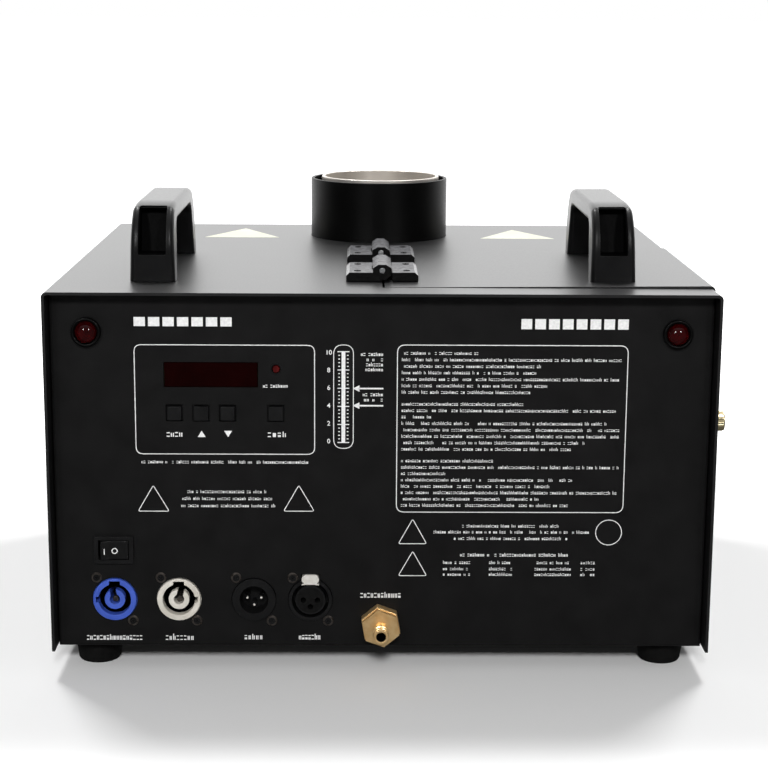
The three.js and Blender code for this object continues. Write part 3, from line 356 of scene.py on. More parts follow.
def mapRange(tree, value, start, end, low=0.0, high=1.0, kind="LINEAR"):
    return addNode(
        tree, "ShaderNodeMapRange", settings={"interpolation_type": kind},
        Value=value, From_Min=start, From_Max=end, To_Min=low, To_Max=high,
    ).outputs["Result"]


def noiseOf(tree, place, scale, detail):
    return addNode(tree, "ShaderNodeTexNoise", Vector=place, Scale=scale, Detail=detail).outputs["Fac"]


# Finishes. Each has a dark and a light colour in patches of a scale, its roughness (least,
# most, scale of the change) and its grain (scale, height in metres, strength).
looks = {
    "powderCoat": dict(
        slot="powder_coat", dark=(0.0042, 0.0042, 0.0045), light=(0.0075, 0.0075, 0.008), patch=45,
        rough=(0.4, 0.46, 900), grain=(1600, 8e-6, 0.5), specular=0.24, coat=1, coatRough=0.4, coatIor=1.33),
    "panelCoat": dict(
        slot="powder_coat", dark=(0.0046, 0.0045, 0.0046), light=(0.0072, 0.0071, 0.0072), patch=60,
        rough=(0.42, 0.52, 900), grain=(1600, 1e-5, 0.4), specular=0.12),
    "stovePaint": dict(
        slot="powder_coat", dark=(0.0009, 0.0009, 0.0009), light=(0.0018, 0.0018, 0.0018), patch=60,
        rough=(0.34, 0.42, 700), grain=(1500, 1e-5, 0.4), specular=0.1),
    "nylon": dict(
        slot="handle_nylon", dark=(0.004, 0.004, 0.0042), light=(0.0072, 0.0072, 0.0076), patch=90,
        rough=(0.34, 0.42, 900), grain=(2400, 1e-5, 0.4), specular=0.12, coat=1, coatRough=0.3, coatIor=1.13),
    # Painted light: the hinge paint's tops are mixed towards a pale grey, standing in for light falling from
    # above
    "hingePaint": dict(
        slot="powder_coat", dark=(0.0016, 0.0016, 0.0017), light=(0.003, 0.003, 0.0031), patch=420,
        rough=(0.34, 0.46, 500), grain=(900, 3e-5, 0.5), specular=0.1, coat=1, coatRough=0.24, coatIor=1.2,
        litTop=(0.18, 0.18, 0.19)),
    "rubber": dict(
        slot="foot_rubber", dark=(0.0026, 0.0026, 0.0026), light=(0.006, 0.0058, 0.0056), patch=160,
        rough=(0.72, 0.9, 500), grain=(1500, 4e-5, 0.5), specular=0.1),
    "satinSteel": dict(
        slot="satin_steel", dark=(0.58, 0.53, 0.47), light=(0.74, 0.7, 0.65), patch=26,
        rough=(0.34, 0.46, 60), grain=(420, 3e-5, 0.3), metal=0.8, stretch=(1, 1, 0.12)),
    "zincSteel": dict(
        slot="zinc_steel", dark=(0.36, 0.37, 0.38), light=(0.62, 0.63, 0.64), patch=150,
        rough=(0.32, 0.5, 150), grain=(700, 2e-5, 0.25), metal=1, cells=True),
    "darkSteel": dict(
        slot="zinc_steel", dark=(0.07, 0.061, 0.055), light=(0.16, 0.14, 0.125), patch=500,
        rough=(0.24, 0.36, 500), grain=(1200, 8e-6, 0.3), metal=0.9),
    "brass": dict(
        slot="turned_brass", dark=(0.82, 0.52, 0.22), light=(0.97, 0.7, 0.36), patch=240,
        rough=(0.3, 0.4, 500), grain=(1400, 8e-6, 0.25), metal=0.76),
    "paleBrass": dict(
        slot="turned_brass", dark=(0.5, 0.4, 0.2), light=(0.76, 0.68, 0.47), patch=500,
        rough=(0.25, 0.45, 900), grain=(1800, 8e-5, 0.6), metal=1),
    "copper": dict(
        slot="copper_pipe", dark=(0.36, 0.14, 0.07), light=(0.7, 0.36, 0.21), patch=90,
        rough=(0.24, 0.42, 200), grain=(600, 3e-5, 0.25), metal=1),
    "ceramic": dict(
        slot="white_ceramic", dark=(0.66, 0.62, 0.54), light=(0.82, 0.79, 0.73), patch=240,
        rough=(0.22, 0.4, 300), grain=(900, 5e-5, 0.3), coat=0.4, coatRough=0.12),
    "blackPlastic": dict(
        slot="black_plastic", dark=(0.0048, 0.0048, 0.005), light=(0.0085, 0.0085, 0.0088), patch=130,
        rough=(0.32, 0.42, 700), grain=(2200, 1e-5, 0.35), specular=0.18),
    # Painted shade: a near-black for the strips, skins and plugs that darken seams, recesses, bores and cups
    "shadeBlack": dict(
        slot="black_plastic", dark=(0.0004, 0.0004, 0.0005), light=(0.001, 0.001, 0.0011), patch=130,
        rough=(0.5, 0.6, 700), grain=(2200, 1e-5, 0.3), specular=0.04),
    "paleSteel": dict(
        slot="satin_steel", dark=(0.74, 0.71, 0.65), light=(0.86, 0.84, 0.79), patch=400,
        rough=(0.42, 0.52, 500), grain=(1500, 1e-5, 0.3), metal=0.45),
    "bluePlastic": dict(
        slot="blue_plastic", dark=(0.034, 0.078, 0.4), light=(0.05, 0.106, 0.5), patch=110,
        rough=(0.32, 0.44, 420), grain=(2000, 2e-5, 0.35), specular=0.3),
    "greyPlastic": dict(
        slot="grey_plastic", dark=(0.5, 0.47, 0.41), light=(0.64, 0.61, 0.55), patch=110,
        rough=(0.34, 0.48, 420), grain=(2000, 4e-5, 0.35), specular=0.45),
    "redLens": dict(
        slot="red_lens", dark=(0.011, 0.0003, 0.0005), light=(0.028, 0.0006, 0.001), patch=300,
        rough=(0.05, 0.1, 300), grain=(500, 2e-6, 0.05), ior=1.45, specular=0.04, coat=0.4, coatRough=0.04),
    "brightLens": dict(
        slot="red_lens", dark=(0.03, 0.0022, 0.0022), light=(0.075, 0.006, 0.006), patch=300,
        rough=(0.1, 0.2, 300), grain=(500, 4e-6, 0.15), ior=1.45, specular=0.2),
    "displayPane": dict(
        slot="red_lens", dark=(0.0038, 0.0003, 0.0003), light=(0.0075, 0.0005, 0.0005), patch=60,
        rough=(0.06, 0.14, 200), grain=(800, 1e-5, 0.1), specular=0.04),
    "circuitBoard": dict(
        slot="circuit_board", dark=(0.006, 0.055, 0.018), light=(0.016, 0.11, 0.042), patch=320,
        rough=(0.34, 0.5, 300), grain=(900, 5e-5, 0.4), specular=0.5),
    "coilResin": dict(
        slot="coil_resin", dark=(0.011, 0.013, 0.015), light=(0.022, 0.026, 0.03), patch=120,
        rough=(0.3, 0.5, 260), grain=(700, 6e-5, 0.3), specular=0.5),
    "whiteInk": dict(
        slot="powder_coat", dark=(0.62, 0.62, 0.62), light=(0.78, 0.78, 0.77), patch=700,
        rough=(0.42, 0.55, 900), grain=(2400, 1e-5, 0.2), specular=0.2),
    "paleYellow": dict(
        slot="powder_coat", dark=(0.64, 0.64, 0.5), light=(0.7, 0.7, 0.6), patch=60,
        rough=(0.4, 0.5, 500), grain=(900, 2e-5, 0.2), specular=0.3),
}
shaderInputs = {
    "specular": "Specular IOR Level", "metal": "Metallic", "ior": "IOR",
    "coat": "Coat Weight", "coatRough": "Coat Roughness", "coatIor": "Coat IOR",
}
noiseSpan = (0.3, 0.7)                                    # where nearly all of a noise lies
# Painted light: faces that look up get a paler colour in uneven patches, standing in for light from above
paintedTopLight = {"slope": (0.55, 0.9), "patch": (0.38, 0.6), "least": 0.35}    # paler colour on faces that look up


def makeFinish(name, look):
    material = bpy.data.materials.new(name)
    material.use_nodes = True
    tree = material.node_tree
    coords = addNode(tree, "ShaderNodeTexCoord").outputs
    stretch = look.get("stretch", (1, 1, 1))
    place = addNode(tree, "ShaderNodeMapping", Vector=coords["Object"], Scale=stretch).outputs["Vector"]
    if look.get("cells"):
        share = addNode(tree, "ShaderNodeTexVoronoi", Vector=place, Scale=look["patch"]).outputs["Color"]
    else:
        share = noiseOf(tree, place, look["patch"], 4)
    tint = addNode(tree, "ShaderNodeValToRGB", Fac=share)
    for i, key in enumerate(("dark", "light")):
        tint.color_ramp.elements[i].position = noiseSpan[i]
        tint.color_ramp.elements[i].color = (*look[key], 1)
    colour = tint.outputs["Color"]
    # Painted light: faces that look up are mixed towards a paler colour, in uneven patches, as if lit from
    # above
    if "litTop" in look:
        facing = addNode(tree, "ShaderNodeSeparateXYZ", Vector=coords["Normal"]).outputs["Z"]
        uneven = mapRange(tree, share, *paintedTopLight["patch"], paintedTopLight["least"])
        topLight = mathNode(tree, "MULTIPLY", mapRange(tree, facing, *paintedTopLight["slope"]), uneven)
        colour = addNode(
            tree, "ShaderNodeMixRGB", Fac=topLight, Color1=colour, Color2=(*look["litTop"], 1)
        ).outputs["Color"]
    low, high, roughScale = look["rough"]
    sheen = mapRange(tree, noiseOf(tree, place, roughScale, 3), *noiseSpan, low, high)
    scale, height, strength = look["grain"]
    grain = noiseOf(tree, place, scale, 2)
    bump = addNode(tree, "ShaderNodeBump", Strength=strength, Distance=height, Height=grain).outputs["Normal"]
    shader = tree.nodes["Principled BSDF"]
    setInputs(tree, shader, Base_Color=colour, Roughness=sheen, Normal=bump)
    for key, label in shaderInputs.items():
        if key in look:
            shader.inputs[label].default_value = look[key]
    return material


finishes = {name: (makeFinish(name, look), look["slot"]) for name, look in looks.items()}
print("finishes made:", len(finishes))


# Geometry Nodes: each tree has named inputs, and ends in Realize Instances and Set Material

def newTree(name, **inputs):
    tree = bpy.data.node_groups.new(name, "GeometryNodeTree")
    for label, kind in {"Geometry": "Geometry", **inputs, "Material": "Material"}.items():
        tree.interface.new_socket(
            name=label.replace("_", " "), in_out="INPUT", socket_type="NodeSocket" + kind)
    tree.interface.new_socket(name="Geometry", in_out="OUTPUT", socket_type="NodeSocketGeometry")
    return tree, tree.nodes.new("NodeGroupInput").outputs


def endTree(tree, given, geometry):
    whole = addNode(tree, "GeometryNodeRealizeInstances", geometry).outputs[0]
    painted = addNode(tree, "GeometryNodeSetMaterial", Geometry=whole, Material=given["Material"])
    addNode(tree, "NodeGroupOutput", painted.outputs[0])
    return tree


def boxNode(tree, size, at=None):
    cube = addNode(tree, "GeometryNodeMeshCube", Size=size).outputs["Mesh"]
    if at is None:
        return cube
    return addNode(tree, "GeometryNodeTransform", Geometry=cube, Translation=at).outputs["Geometry"]


def joinNode(tree, parts):
    return addNode(tree, "GeometryNodeJoinGeometry", parts).outputs[0]


# A random value for each point, with a fixed seed; only sockets of the chosen kind are open
def randomNode(tree, kind, seed, low=0, high=1, chance=None):
    node = addNode(tree, "FunctionNodeRandomValue", settings={"data_type": kind})
    values = {"Min": low, "Max": high, "Seed": seed}
    for socket in node.inputs:
        if socket.enabled and socket.name in values:
            socket.default_value = values[socket.name]
    if chance is not None:
        tree.links.new(chance, node.inputs["Probability"])
    return next(socket for socket in node.outputs if socket.enabled)


# Marks set along lines in the place of words: a row of small blank signs with gaps
sign = {"wide": 0.78, "short": 0.68, "uneven": (0.94, 1.06), "seeds": (3, 7, 11)}


def makeMarkTree():
    tree, given = newTree(
        "blank marks", Pitch="Float", Height="Float", Depth="Float", Stroke="Float", Gap_Share="Float")
    pitch, height, depth, stroke = (given[key] for key in ("Pitch", "Height", "Depth", "Stroke"))
    line = addNode(tree, "GeometryNodeMeshToCurve", given["Geometry"]).outputs[0]
    spaced = addNode(tree, "GeometryNodeResampleCurve", settings={"mode": "LENGTH"}, Curve=line, Length=pitch)
    wide = mathNode(tree, "MULTIPLY", pitch, sign["wide"])
    side = mathNode(tree, "MULTIPLY", mathNode(tree, "SUBTRACT", wide, stroke), 0.5)
    outward = mathNode(tree, "MULTIPLY", side, -1)
    lowRise = mathNode(tree, "MULTIPLY", stroke, 0.5)
    tallRise = mathNode(tree, "MULTIPLY", height, 0.5)
    short = mathNode(tree, "MULTIPLY", height, sign["short"])
    shortRise = mathNode(tree, "MULTIPLY", height, sign["short"] / 2)
    post, bar = vectorOf(tree, stroke, depth, short), vectorOf(tree, wide, depth, stroke)
    tall = boxNode(tree, vectorOf(tree, stroke, depth, height), vectorOf(tree, outward, 0, tallRise))
    left, middle, right = (
        boxNode(tree, post, vectorOf(tree, x, 0, shortRise)) for x in (outward, 0, side))
    low, centre, upper = (
        boxNode(tree, bar, vectorOf(tree, 0, 0, z))
        for z in (lowRise, mathNode(tree, "SUBTRACT", shortRise, lowRise), short))
    signs = []
    for parts in ([left, right], [tall, right], [low, upper], [left, middle, right], [low, centre, upper]):
        signs.append(addNode(tree, "GeometryNodeGeometryToInstance", joinNode(tree, parts)).outputs[0])
    keepSeed, kindSeed, riseSeed = sign["seeds"]
    share = mathNode(tree, "SUBTRACT", 1, given["Gap Share"])
    rise = randomNode(tree, "FLOAT", riseSeed, *sign["uneven"])
    placed = addNode(
        tree, "GeometryNodeInstanceOnPoints", Points=spaced.outputs[0], Instance=joinNode(tree, signs),
        Selection=randomNode(tree, "BOOLEAN", keepSeed, chance=share), Pick_Instance=True,
        Instance_Index=randomNode(tree, "INT", kindSeed, 0, 4), Scale=vectorOf(tree, 1, 1, rise),
    )
    return endTree(tree, given, placed.outputs[0])


# Screws with a cross recess, one on each point, turned at random about their own axis
screw = {"sides": 20, "topShare": 0.86, "crossShare": 1.1, "depthShare": 1.2, "turn": 3.0, "seed": 5}


def makeScrewTree():
    tree, given = newTree(
        "cross screws", Head_Radius="Float", Head_Height="Float", Recess="Float", Facing="Vector")
    radius, height, recess = given["Head Radius"], given["Head Height"], given["Recess"]
    head = addNode(
        tree, "GeometryNodeMeshCone", Vertices=screw["sides"], Radius_Bottom=radius,
        Radius_Top=mathNode(tree, "MULTIPLY", radius, screw["topShare"]), Depth=height,
    )
    long = mathNode(tree, "MULTIPLY", radius, screw["crossShare"])
    deep = mathNode(tree, "MULTIPLY", height, screw["depthShare"])
    sizes = [vectorOf(tree, long, recess, deep), vectorOf(tree, recess, long, deep)]
    cross = [boxNode(tree, size, vectorOf(tree, 0, 0, height)) for size in sizes]
    cut = addNode(
        tree, "GeometryNodeMeshBoolean", settings={"operation": "DIFFERENCE"},
        Mesh_1=head.outputs["Mesh"], Mesh_2=cross,
    )
    aligned = addNode(
        tree, "FunctionNodeAlignRotationToVector", settings={"axis": "Z"}, Vector=given["Facing"])
    placed = addNode(
        tree, "GeometryNodeInstanceOnPoints", Points=given["Geometry"], Instance=cut.outputs["Mesh"],
        Rotation=aligned.outputs[0],
    )
    turn = vectorOf(tree, 0, 0, randomNode(tree, "FLOAT", screw["seed"], 0.0, screw["turn"]))
    turned = addNode(tree, "GeometryNodeRotateInstances", Instances=placed.outputs[0], Rotation=turn)
    return endTree(tree, given, turned.outputs[0])


# A measuring scale: a wide bar at every fifth step, and a pair of dots at the others
tick = {"barEvery": 5, "dotWide": 1.8}


def makeScaleTree():
    tree, given = newTree(
        "scale ticks", Count="Int", Step="Float", Bar_Width="Float", Dot_Offset="Float", Stroke="Float",
        Depth="Float")
    stroke, depth, offset = given["Stroke"], given["Depth"], given["Dot Offset"]
    step = vectorOf(tree, 0, 0, given["Step"])
    line = addNode(tree, "GeometryNodeMeshLine", Count=given["Count"], Offset=step).outputs[0]
    start = addNode(tree, "GeometryNodeInstanceOnPoints", Points=given["Geometry"], Instance=line)
    rows = addNode(tree, "GeometryNodeRealizeInstances", start.outputs[0]).outputs[0]
    phase = mathNode(tree, "MODULO", addNode(tree, "GeometryNodeInputIndex").outputs[0], tick["barEvery"])
    dotSize = vectorOf(tree, mathNode(tree, "MULTIPLY", stroke, tick["dotWide"]), depth, stroke)
    sides = (offset, mathNode(tree, "MULTIPLY", offset, -1))
    dots = joinNode(tree, [boxNode(tree, dotSize, vectorOf(tree, x, 0, 0)) for x in sides])
    bar = boxNode(tree, vectorOf(tree, given["Bar Width"], depth, stroke))
    shown = []
    for test, shape in (("LESS_THAN", bar), ("GREATER_THAN", dots)):
        chosen = mathNode(tree, test, phase, 0.5)
        placed = addNode(tree, "GeometryNodeInstanceOnPoints", Points=rows, Selection=chosen, Instance=shape)
        shown.append(placed.outputs[0])
    return endTree(tree, given, joinNode(tree, shown))


# Runs a tree on points or lines given in millimetres, and gives the result as a bmesh
def grow(tree, finish, points, edges=(), **values):
    mesh = bpy.data.meshes.new("seeds")
    mesh.from_pydata([tuple(point) for point in points], list(edges), [])
    holder = bpy.data.objects.new("seeds", mesh)
    scene.collection.objects.link(holder)
    modifier = holder.modifiers.new("nodes", "NODES")
    modifier.node_group = tree
    values["Material"] = finishes[finish][0]
    for item in tree.interface.items_tree:
        name = item.name.replace(" ", "_")
        if item.in_out == "INPUT" and name in values:
            modifier[item.identifier] = values[name]
    return settle(holder)


markTree = makeMarkTree()
screwTree = makeScrewTree()
scaleTree = makeScaleTree()
print("node trees made")


# Pieces that keep the frame's own shape: the finish, and how far their edges are softened
dressed = {
    "base_tray": ("powderCoat", 0.2),
    "burner_deck": ("zincSteel", 0.2),
    "burner_nozzle": ("brass", 0.3),
    "left_electrode": ("ceramic", 0.25),
    "right_electrode": ("ceramic", 0.25),
    "ignition_transformer": ("coilResin", 0.8),
    "gas_manifold": ("brass", 0.5),
    "propane_valve": ("coilResin", 0.5),
    "canister_valve": ("coilResin", 0.5),
    "propane_plunger": ("zincSteel", 0.4),
    "canister_plunger": ("zincSteel", 0.4),
    "canister_cradle": ("zincSteel", 0.2),
    "canister_coupler": ("brass", 0.4),
    "partition_wall": ("zincSteel", 0.2),
    "heat_shield": ("zincSteel", 0.2),
    "power_supply": ("zincSteel", 0.4),
    "control_board": ("circuitBoard", 0.15),
    "display_board": ("circuitBoard", 0.15),
    "latch_cam": ("zincSteel", 0.3),
}
for node, (finish, width) in dressed.items():
    refine(node, finish, width)
refine("rear_panel", "powderCoat", 0.15, merge=False)    # merging would spoil the faces round its slots

# The feet stand a little wider, and nearer the corners
feet = {"share": 1.14, "out": 2.2, "edge": 0.5}


def widenFoot(shape):
    low, high = (Vector(f(v.co[i] for v in shape.verts) for i in range(3)) for f in (min, max))
    centre = (low + high) / 2
    outX = math.copysign(feet["out"], centre.x)
    outY = math.copysign(feet["out"], centre.y - casing["depth"] / 2)
    place = centre + Vector((outX, outY, 0))
    for vert in shape.verts:
        away = vert.co - centre
        vert.co = place + Vector((away.x * feet["share"], away.y * feet["share"], away.z))


for row in ("front", "rear"):
    for side in ("left", "right"):
        refine("foot_" + row + "_" + side, "rubber", feet["edge"], change=widenFoot)
print("plain pieces dressed:", len(dressed) + 5)    # with the rear panel and the four feet


# Casing: the cover and the lid are one folded section, cut where the lid closes it

def arc(x, z, radius, start, end, steps):
    points = []
    for i in range(steps + 1):
        angle = math.radians(start + (end - start) * i / steps)
        points.append((x + radius * math.cos(angle), z + radius * math.sin(angle)))
    return points


def foldedSection(left, right, foot, leftFoot=None):
    sheet, bend, steps = casing["sheet"], casing["bend"], casing["bendSteps"]
    top = casing["top"]
    low = top - bend
    points = [(right, foot)] + arc(right - bend, low, bend, 0, 90, steps)
    if leftFoot is None:
        points += [(left, top), (left, top - sheet)]
    else:
        points += arc(left + bend, low, bend, 90, 180, steps)
        points += [(left, leftFoot), (left + sheet, leftFoot)]
        points += arc(left + bend, low, bend - sheet, 180, 90, steps)
    return points + arc(right - bend, low, bend - sheet, 90, 0, steps) + [(right - sheet, foot)]


def buildCover():
    half, foot, top, over = casing["halfWidth"], casing["foot"], casing["top"], casing["overrun"]
    shell = prism(foldedSection(-half, half, foot, foot), "y", 0, casing["depth"])
    corner = (half + over, casing["lidRear"], top + over)
    lidOpening = block((0, casing["lidFront"], top - casing["lidDrop"]), corner)
    radius = chimney["radius"] + chimney["seat"]
    hole = rod(radius, top - casing["holeDepth"], top + over, at=chimney["place"])
    skin = bevelled(carve(shell, lidOpening, hole), casing["edge"], 2, 40)
    addPiece("cover_skin", skin, "powderCoat", replaced=("cover_shell",))


def buildLidPanel():
    seam, frontSeam = casing["lidSeam"], casing["frontSeam"]
    section = foldedSection(frontSeam, casing["halfWidth"], casing["top"] - casing["lidDrop"] + seam)
    plate = prism(section, "y", casing["lidFront"] + frontSeam, casing["lidRear"] - seam)
    hole = rod(latch["stem"], -latch["holeDepth"], casing["overrun"], "right", latch["place"], 48)
    skin = bevelled(carve(plate, hole), casing["edge"], 2, 40)
    addPiece("lid_skin", skin, "powderCoat", "lid", ("lid_panel",), tilt=True)


# Painted shade: a near-black strip under the edge of the lid's opening, which darkens the seams round the lid
seamShade = {"under": 4, "lip": 2, "thick": 1.3, "gap": 0.1, "inset": 2, "edge": 0.3}


def buildSeamShade():
    under, lip, gap = seamShade["under"], seamShade["lip"], seamShade["gap"]
    high = casing["top"] - casing["sheet"] - gap
    low = high - seamShade["thick"]
    front, rear = casing["lidFront"], casing["lidRear"]
    right = casing["halfWidth"] - casing["bend"] - seamShade["inset"]
    strips = [
        block((-under, front - under, low), (right, front + lip, high)),
        block((-under, rear - lip, low), (right, rear + under, high)),
        block((-under, front + lip + gap, low), (lip, rear - lip - gap, high)),
    ]
    addPiece("lid_seal", bevelled(joined(strips), seamShade["edge"], 2, 40), "shadeBlack")


# Chimney: a black ring, with the satin flame tube standing a little proud inside it
chimney = {
    "place": middleOf("chimney_ring").xy.to_3d(), "radius": 43.3, "wall": 2, "flange": 3, "seat": 0.3,
    "low": boxOf("chimney_ring")[0].z, "top": boxOf("chimney_ring")[1].z, "sheet": 1.5, "sides": 160,
    "edge": 0.45, "tubeShift": 0.8, "tube": 37.4, "tubeWall": 2.1, "tubeRound": 0.5,
    "tubeLow": boxOf("flame_tube")[0].z, "tubeTop": boxOf("flame_tube")[1].z,
}


def buildChimney():
    c = chimney
    inner, radius, outer = c["radius"] - c["wall"], c["radius"], c["radius"] + c["flange"]
    low, top, flangeTop = c["low"], c["top"], c["low"] + c["sheet"]
    profile = [(inner, low), (outer, low), (outer, flangeTop), (radius, flangeTop), (radius, top),
               (inner, top)]
    profile = soften(profile, c["edge"], 4)
    shape = lathe(profile + [profile[0]], at=c["place"], sides=c["sides"])
    addPiece("chimney_ring_skin", shape, "stovePaint", replaced=("chimney_ring",))
    tube = ringProfile(c["tube"] - c["tubeWall"], c["tube"], c["tubeLow"], c["tubeTop"], c["tubeRound"])
    shape = lathe(tube, at=c["place"] + Vector((c["tubeShift"], 0, 0)), sides=c["sides"])
    addPiece("flame_tube_skin", shape, "satinSteel", replaced=("flame_tube",))


# Handle: leaning ends with a deep screw pocket each, and a crowned grip
handle = {
    "length": 126, "width": 24.2, "height": 40.2, "lean": 12, "shoulder": 16, "rimDrop": 1.8, "crownRun": 20,
    "bulge": 1.5, "bulgeDrop": 9, "bulgeRun": 8, "grip": 10, "leg": 12, "legLean": 8, "archCorner": 8,
    "taper": 0.09, "pocketWidth": 14.8, "pocketSill": 14.2, "pocketDepth": 9, "pocketRoof": -0.5,
    "pocketOver": 5, "pocketRound": 0.8, "pocketEdge": 0.5, "edge": 3.1, "steps": 9, "overrun": 6,
    "shadeSkin": 0.35, "shadeInset": 0.7, "shadeOver": 9, "seat": 0.3, "lidShift": 1, "lidSink": 0.5,
}


def handleOutline():
    h = handle
    steps = h["steps"]
    half = h["length"] / 2
    rim, rimY = h["height"] - h["rimDrop"], half - h["lean"]
    crownY = rimY - h["crownRun"]
    under = h["height"] - h["grip"]
    inner = half - h["leg"]
    innerTop = inner - h["legLean"]
    archY, archZ = innerTop - h["archCorner"], under - h["archCorner"]
    bulge = (half - h["bulge"], h["height"] - h["bulgeDrop"])
    right = [(0, under)] + bow((archY, under), (innerTop, under), (innerTop, archZ), steps)
    right += [(inner, -h["overrun"]), (half, -h["overrun"])]
    right += bow((half, h["shoulder"]), bulge, (rimY, rim), steps)
    right += bow((rimY, rim), (rimY - h["bulgeRun"], h["height"]), (crownY, h["height"]), steps)[1:]
    return right + [(-y, z) for y, z in reversed(right[1:])]


def buildHandle(name, node, body, place, tilt):
    h = handle
    half, side, width = h["length"] / 2, h["width"] / 2, h["pocketWidth"] / 2
    grip = bevelled(prism(handleOutline(), "x", -side, side), h["edge"], 5, 50)
    for vert in grip.verts:
        vert.co.x *= 1 - h["taper"] * vert.co.z / h["height"]
    halfLean, sill, wall = h["lean"] / 2, h["pocketSill"], h["shadeSkin"]
    roof = h["height"] - h["rimDrop"] - h["pocketRoof"]
    back = half - h["pocketDepth"] - halfLean
    mouth, ceiling = half - h["shadeInset"], roof - h["shadeInset"]
    over, far = half + h["pocketOver"], half + h["shadeOver"]
    shaft = [(back, sill), (over, sill), (over, roof), (back - halfLean, roof)]
    sides = [(back, sill), (mouth, sill), (mouth, h["shoulder"]), (mouth - h["lean"], ceiling),
             (back - halfLean, ceiling)]
    inside = [(back + wall, sill + wall), (far, sill + wall), (far, ceiling - wall),
              (back + wall - halfLean, ceiling - wall)]
    # Painted shade: each pocket gets a near-black skin over its inner walls, which darkens the recess
    pockets, pocketShades = [], []
    for end in (-1, 1):
        pocket, case, room = (
            prism([(end * y, z) for y, z in outline], "x", -reach, reach)
            for outline, reach in ((shaft, width), (sides, width), (inside, width - wall)))
        pockets.append(bevelled(pocket, h["pocketRound"], 3))
        pocketShades.append(carve(case, room))
    under = block((-2 * side, -2 * half, -2 * h["overrun"]), (2 * side, 2 * half, 0))
    grip = bevelled(carve(grip, under, *pockets), h["pocketEdge"], 3, 60)
    addPiece(name, moved(grip, place), "nylon", body, (node,), 40, tilt)
    addPiece(name + "_pockets", moved(joined(pocketShades), place), "shadeBlack", body, (), 40, tilt)


# Latch: a knurled knob on the lid's side
latch = {
    "radius": 5.5, "reach": 8, "stem": 2.5, "stemEnd": -6.6, "stemGap": 0.1, "ridges": 28, "ridgeDepth": 0.28,
    "gap": 0.3, "rim": 1, "knurlIn": 0.9, "dimple": 1.6, "dimpleDrop": 0.8, "round": 0.4, "holeDepth": 8,
    "sides": 56, "place": (casing["halfWidth"], 29, casing["top"] - 74),
}


def buildKnob():
    k = latch
    gap, reach, stem = k["gap"], k["reach"], k["stem"] - k["stemGap"]
    outline = []
    for i in range(2 * k["ridges"]):
        radius = k["radius"] - (k["ridgeDepth"] if i % 2 else 0)
        angle = math.pi * i / k["ridges"]
        outline.append((radius * math.cos(angle), radius * math.sin(angle)))
    knob = prism(outline, "x", gap + k["knurlIn"], reach - k["knurlIn"])
    rim = k["radius"] - k["ridgeDepth"]
    face = [(0, reach - k["rim"]), (rim, reach - k["rim"]), (rim, reach), (k["dimple"], reach),
            (0, reach - k["dimpleDrop"])]
    face = lathe(soften(face, k["round"], 3, False), "right", sides=k["sides"])
    neck = [(0, k["stemEnd"]), (stem, k["stemEnd"]), (stem, gap), (rim, gap), (rim, gap + k["rim"]),
            (0, gap + k["rim"])]
    shape = moved(joined([knob, face, lathe(neck, "right", sides=k["sides"])]), k["place"])
    addPiece("latch_knob_turned", shape, "paleBrass", "latch", ("latch_knob",), 30, True)


buildCover()
buildLidPanel()
buildSeamShade()
buildChimney()
gripX, gripY = middleOf("left_handle").xy
gripZ = casing["top"] + handle["seat"]
buildHandle("left_grip", "left_handle", "chassis", (gripX, gripY, gripZ), False)
lidGrip = (handle["lidShift"] - gripX, gripY, gripZ - handle["lidSink"])
buildHandle("right_grip", "right_handle", "lid", lidGrip, True)
buildKnob()
print("casing built")


# Front panel and its fittings. Fronts face -y, and proud is how far a face stands out.
refine("front_panel", "panelCoat", 0.12)

lamp = {
    "shank": 12, "cupFloor": 1.3, "proud": 3.3, "soft": 0.9, "bore": 4.3, "cup": 6.0, "bezel": 7.75,
    "lens": 5.75, "skirt": 1.7, "dome": 4.5, "seat": 0.3, "slack": 0.25, "stem": 8, "steps": 18,
}


def buildLamp(side):
    m = lamp
    bore, lens, seat, floor = m["bore"], m["lens"], m["seat"], m["cupFloor"]
    at = facePoint(side + "_lamp_bezel")
    rim = [(m["bezel"], seat), (m["bezel"], m["proud"]), (m["cup"], m["proud"]), (m["cup"], floor)]
    profile = [(bore, -m["shank"]), (lens, -m["shank"]), (lens, seat)] + soften(rim, m["soft"], 5, False)
    profile += [(bore, floor), profile[0]]
    addPiece(side + "_lamp_rim", lathe(profile, "front", at), "stovePaint", replaced=(side + "_lamp_bezel",))
    stem, base = bore - m["slack"], floor + seat
    profile = [(0, -m["stem"]), (stem, -m["stem"]), (stem, base), (lens, base), (lens, m["skirt"])]
    for i in range(1, m["steps"] + 1):
        angle = i / m["steps"] * math.pi / 2
        radius = 0 if i == m["steps"] else lens * math.cos(angle)
        profile.append((radius, m["skirt"] + m["dome"] * math.sin(angle)))
    addPiece(side + "_lamp_dome", lathe(profile, "front", at), "redLens", replaced=(side + "_lamp_lens",))


buildLamp("left")
buildLamp("right")
fittings = {
    "power_switch_body": ("blackPlastic", 0.35),
    "signal_in_socket": ("blackPlastic", 0.3),
    "signal_out_socket": ("blackPlastic", 0.3),
    "display_window": ("displayPane", 0.25),
    "signal_led": ("brightLens", 0.1),
    "front_hinge_pin": ("zincSteel", 0.3),
    "rear_hinge_pin": ("zincSteel", 0.3),
    "propane_line": ("copper", 0),
    "canister_line": ("copper", 0),
}
for node, (finish, width) in fittings.items():
    refine(node, finish, width)

# Buttons stand in a dark gap, and the hinge barrels are flattened above their pins
fitted = {"buttonShare": 0.87, "buttonEdge": 0.5, "barrelShare": 0.66, "barrelBore": 3.0, "hingeEdge": 0.25}


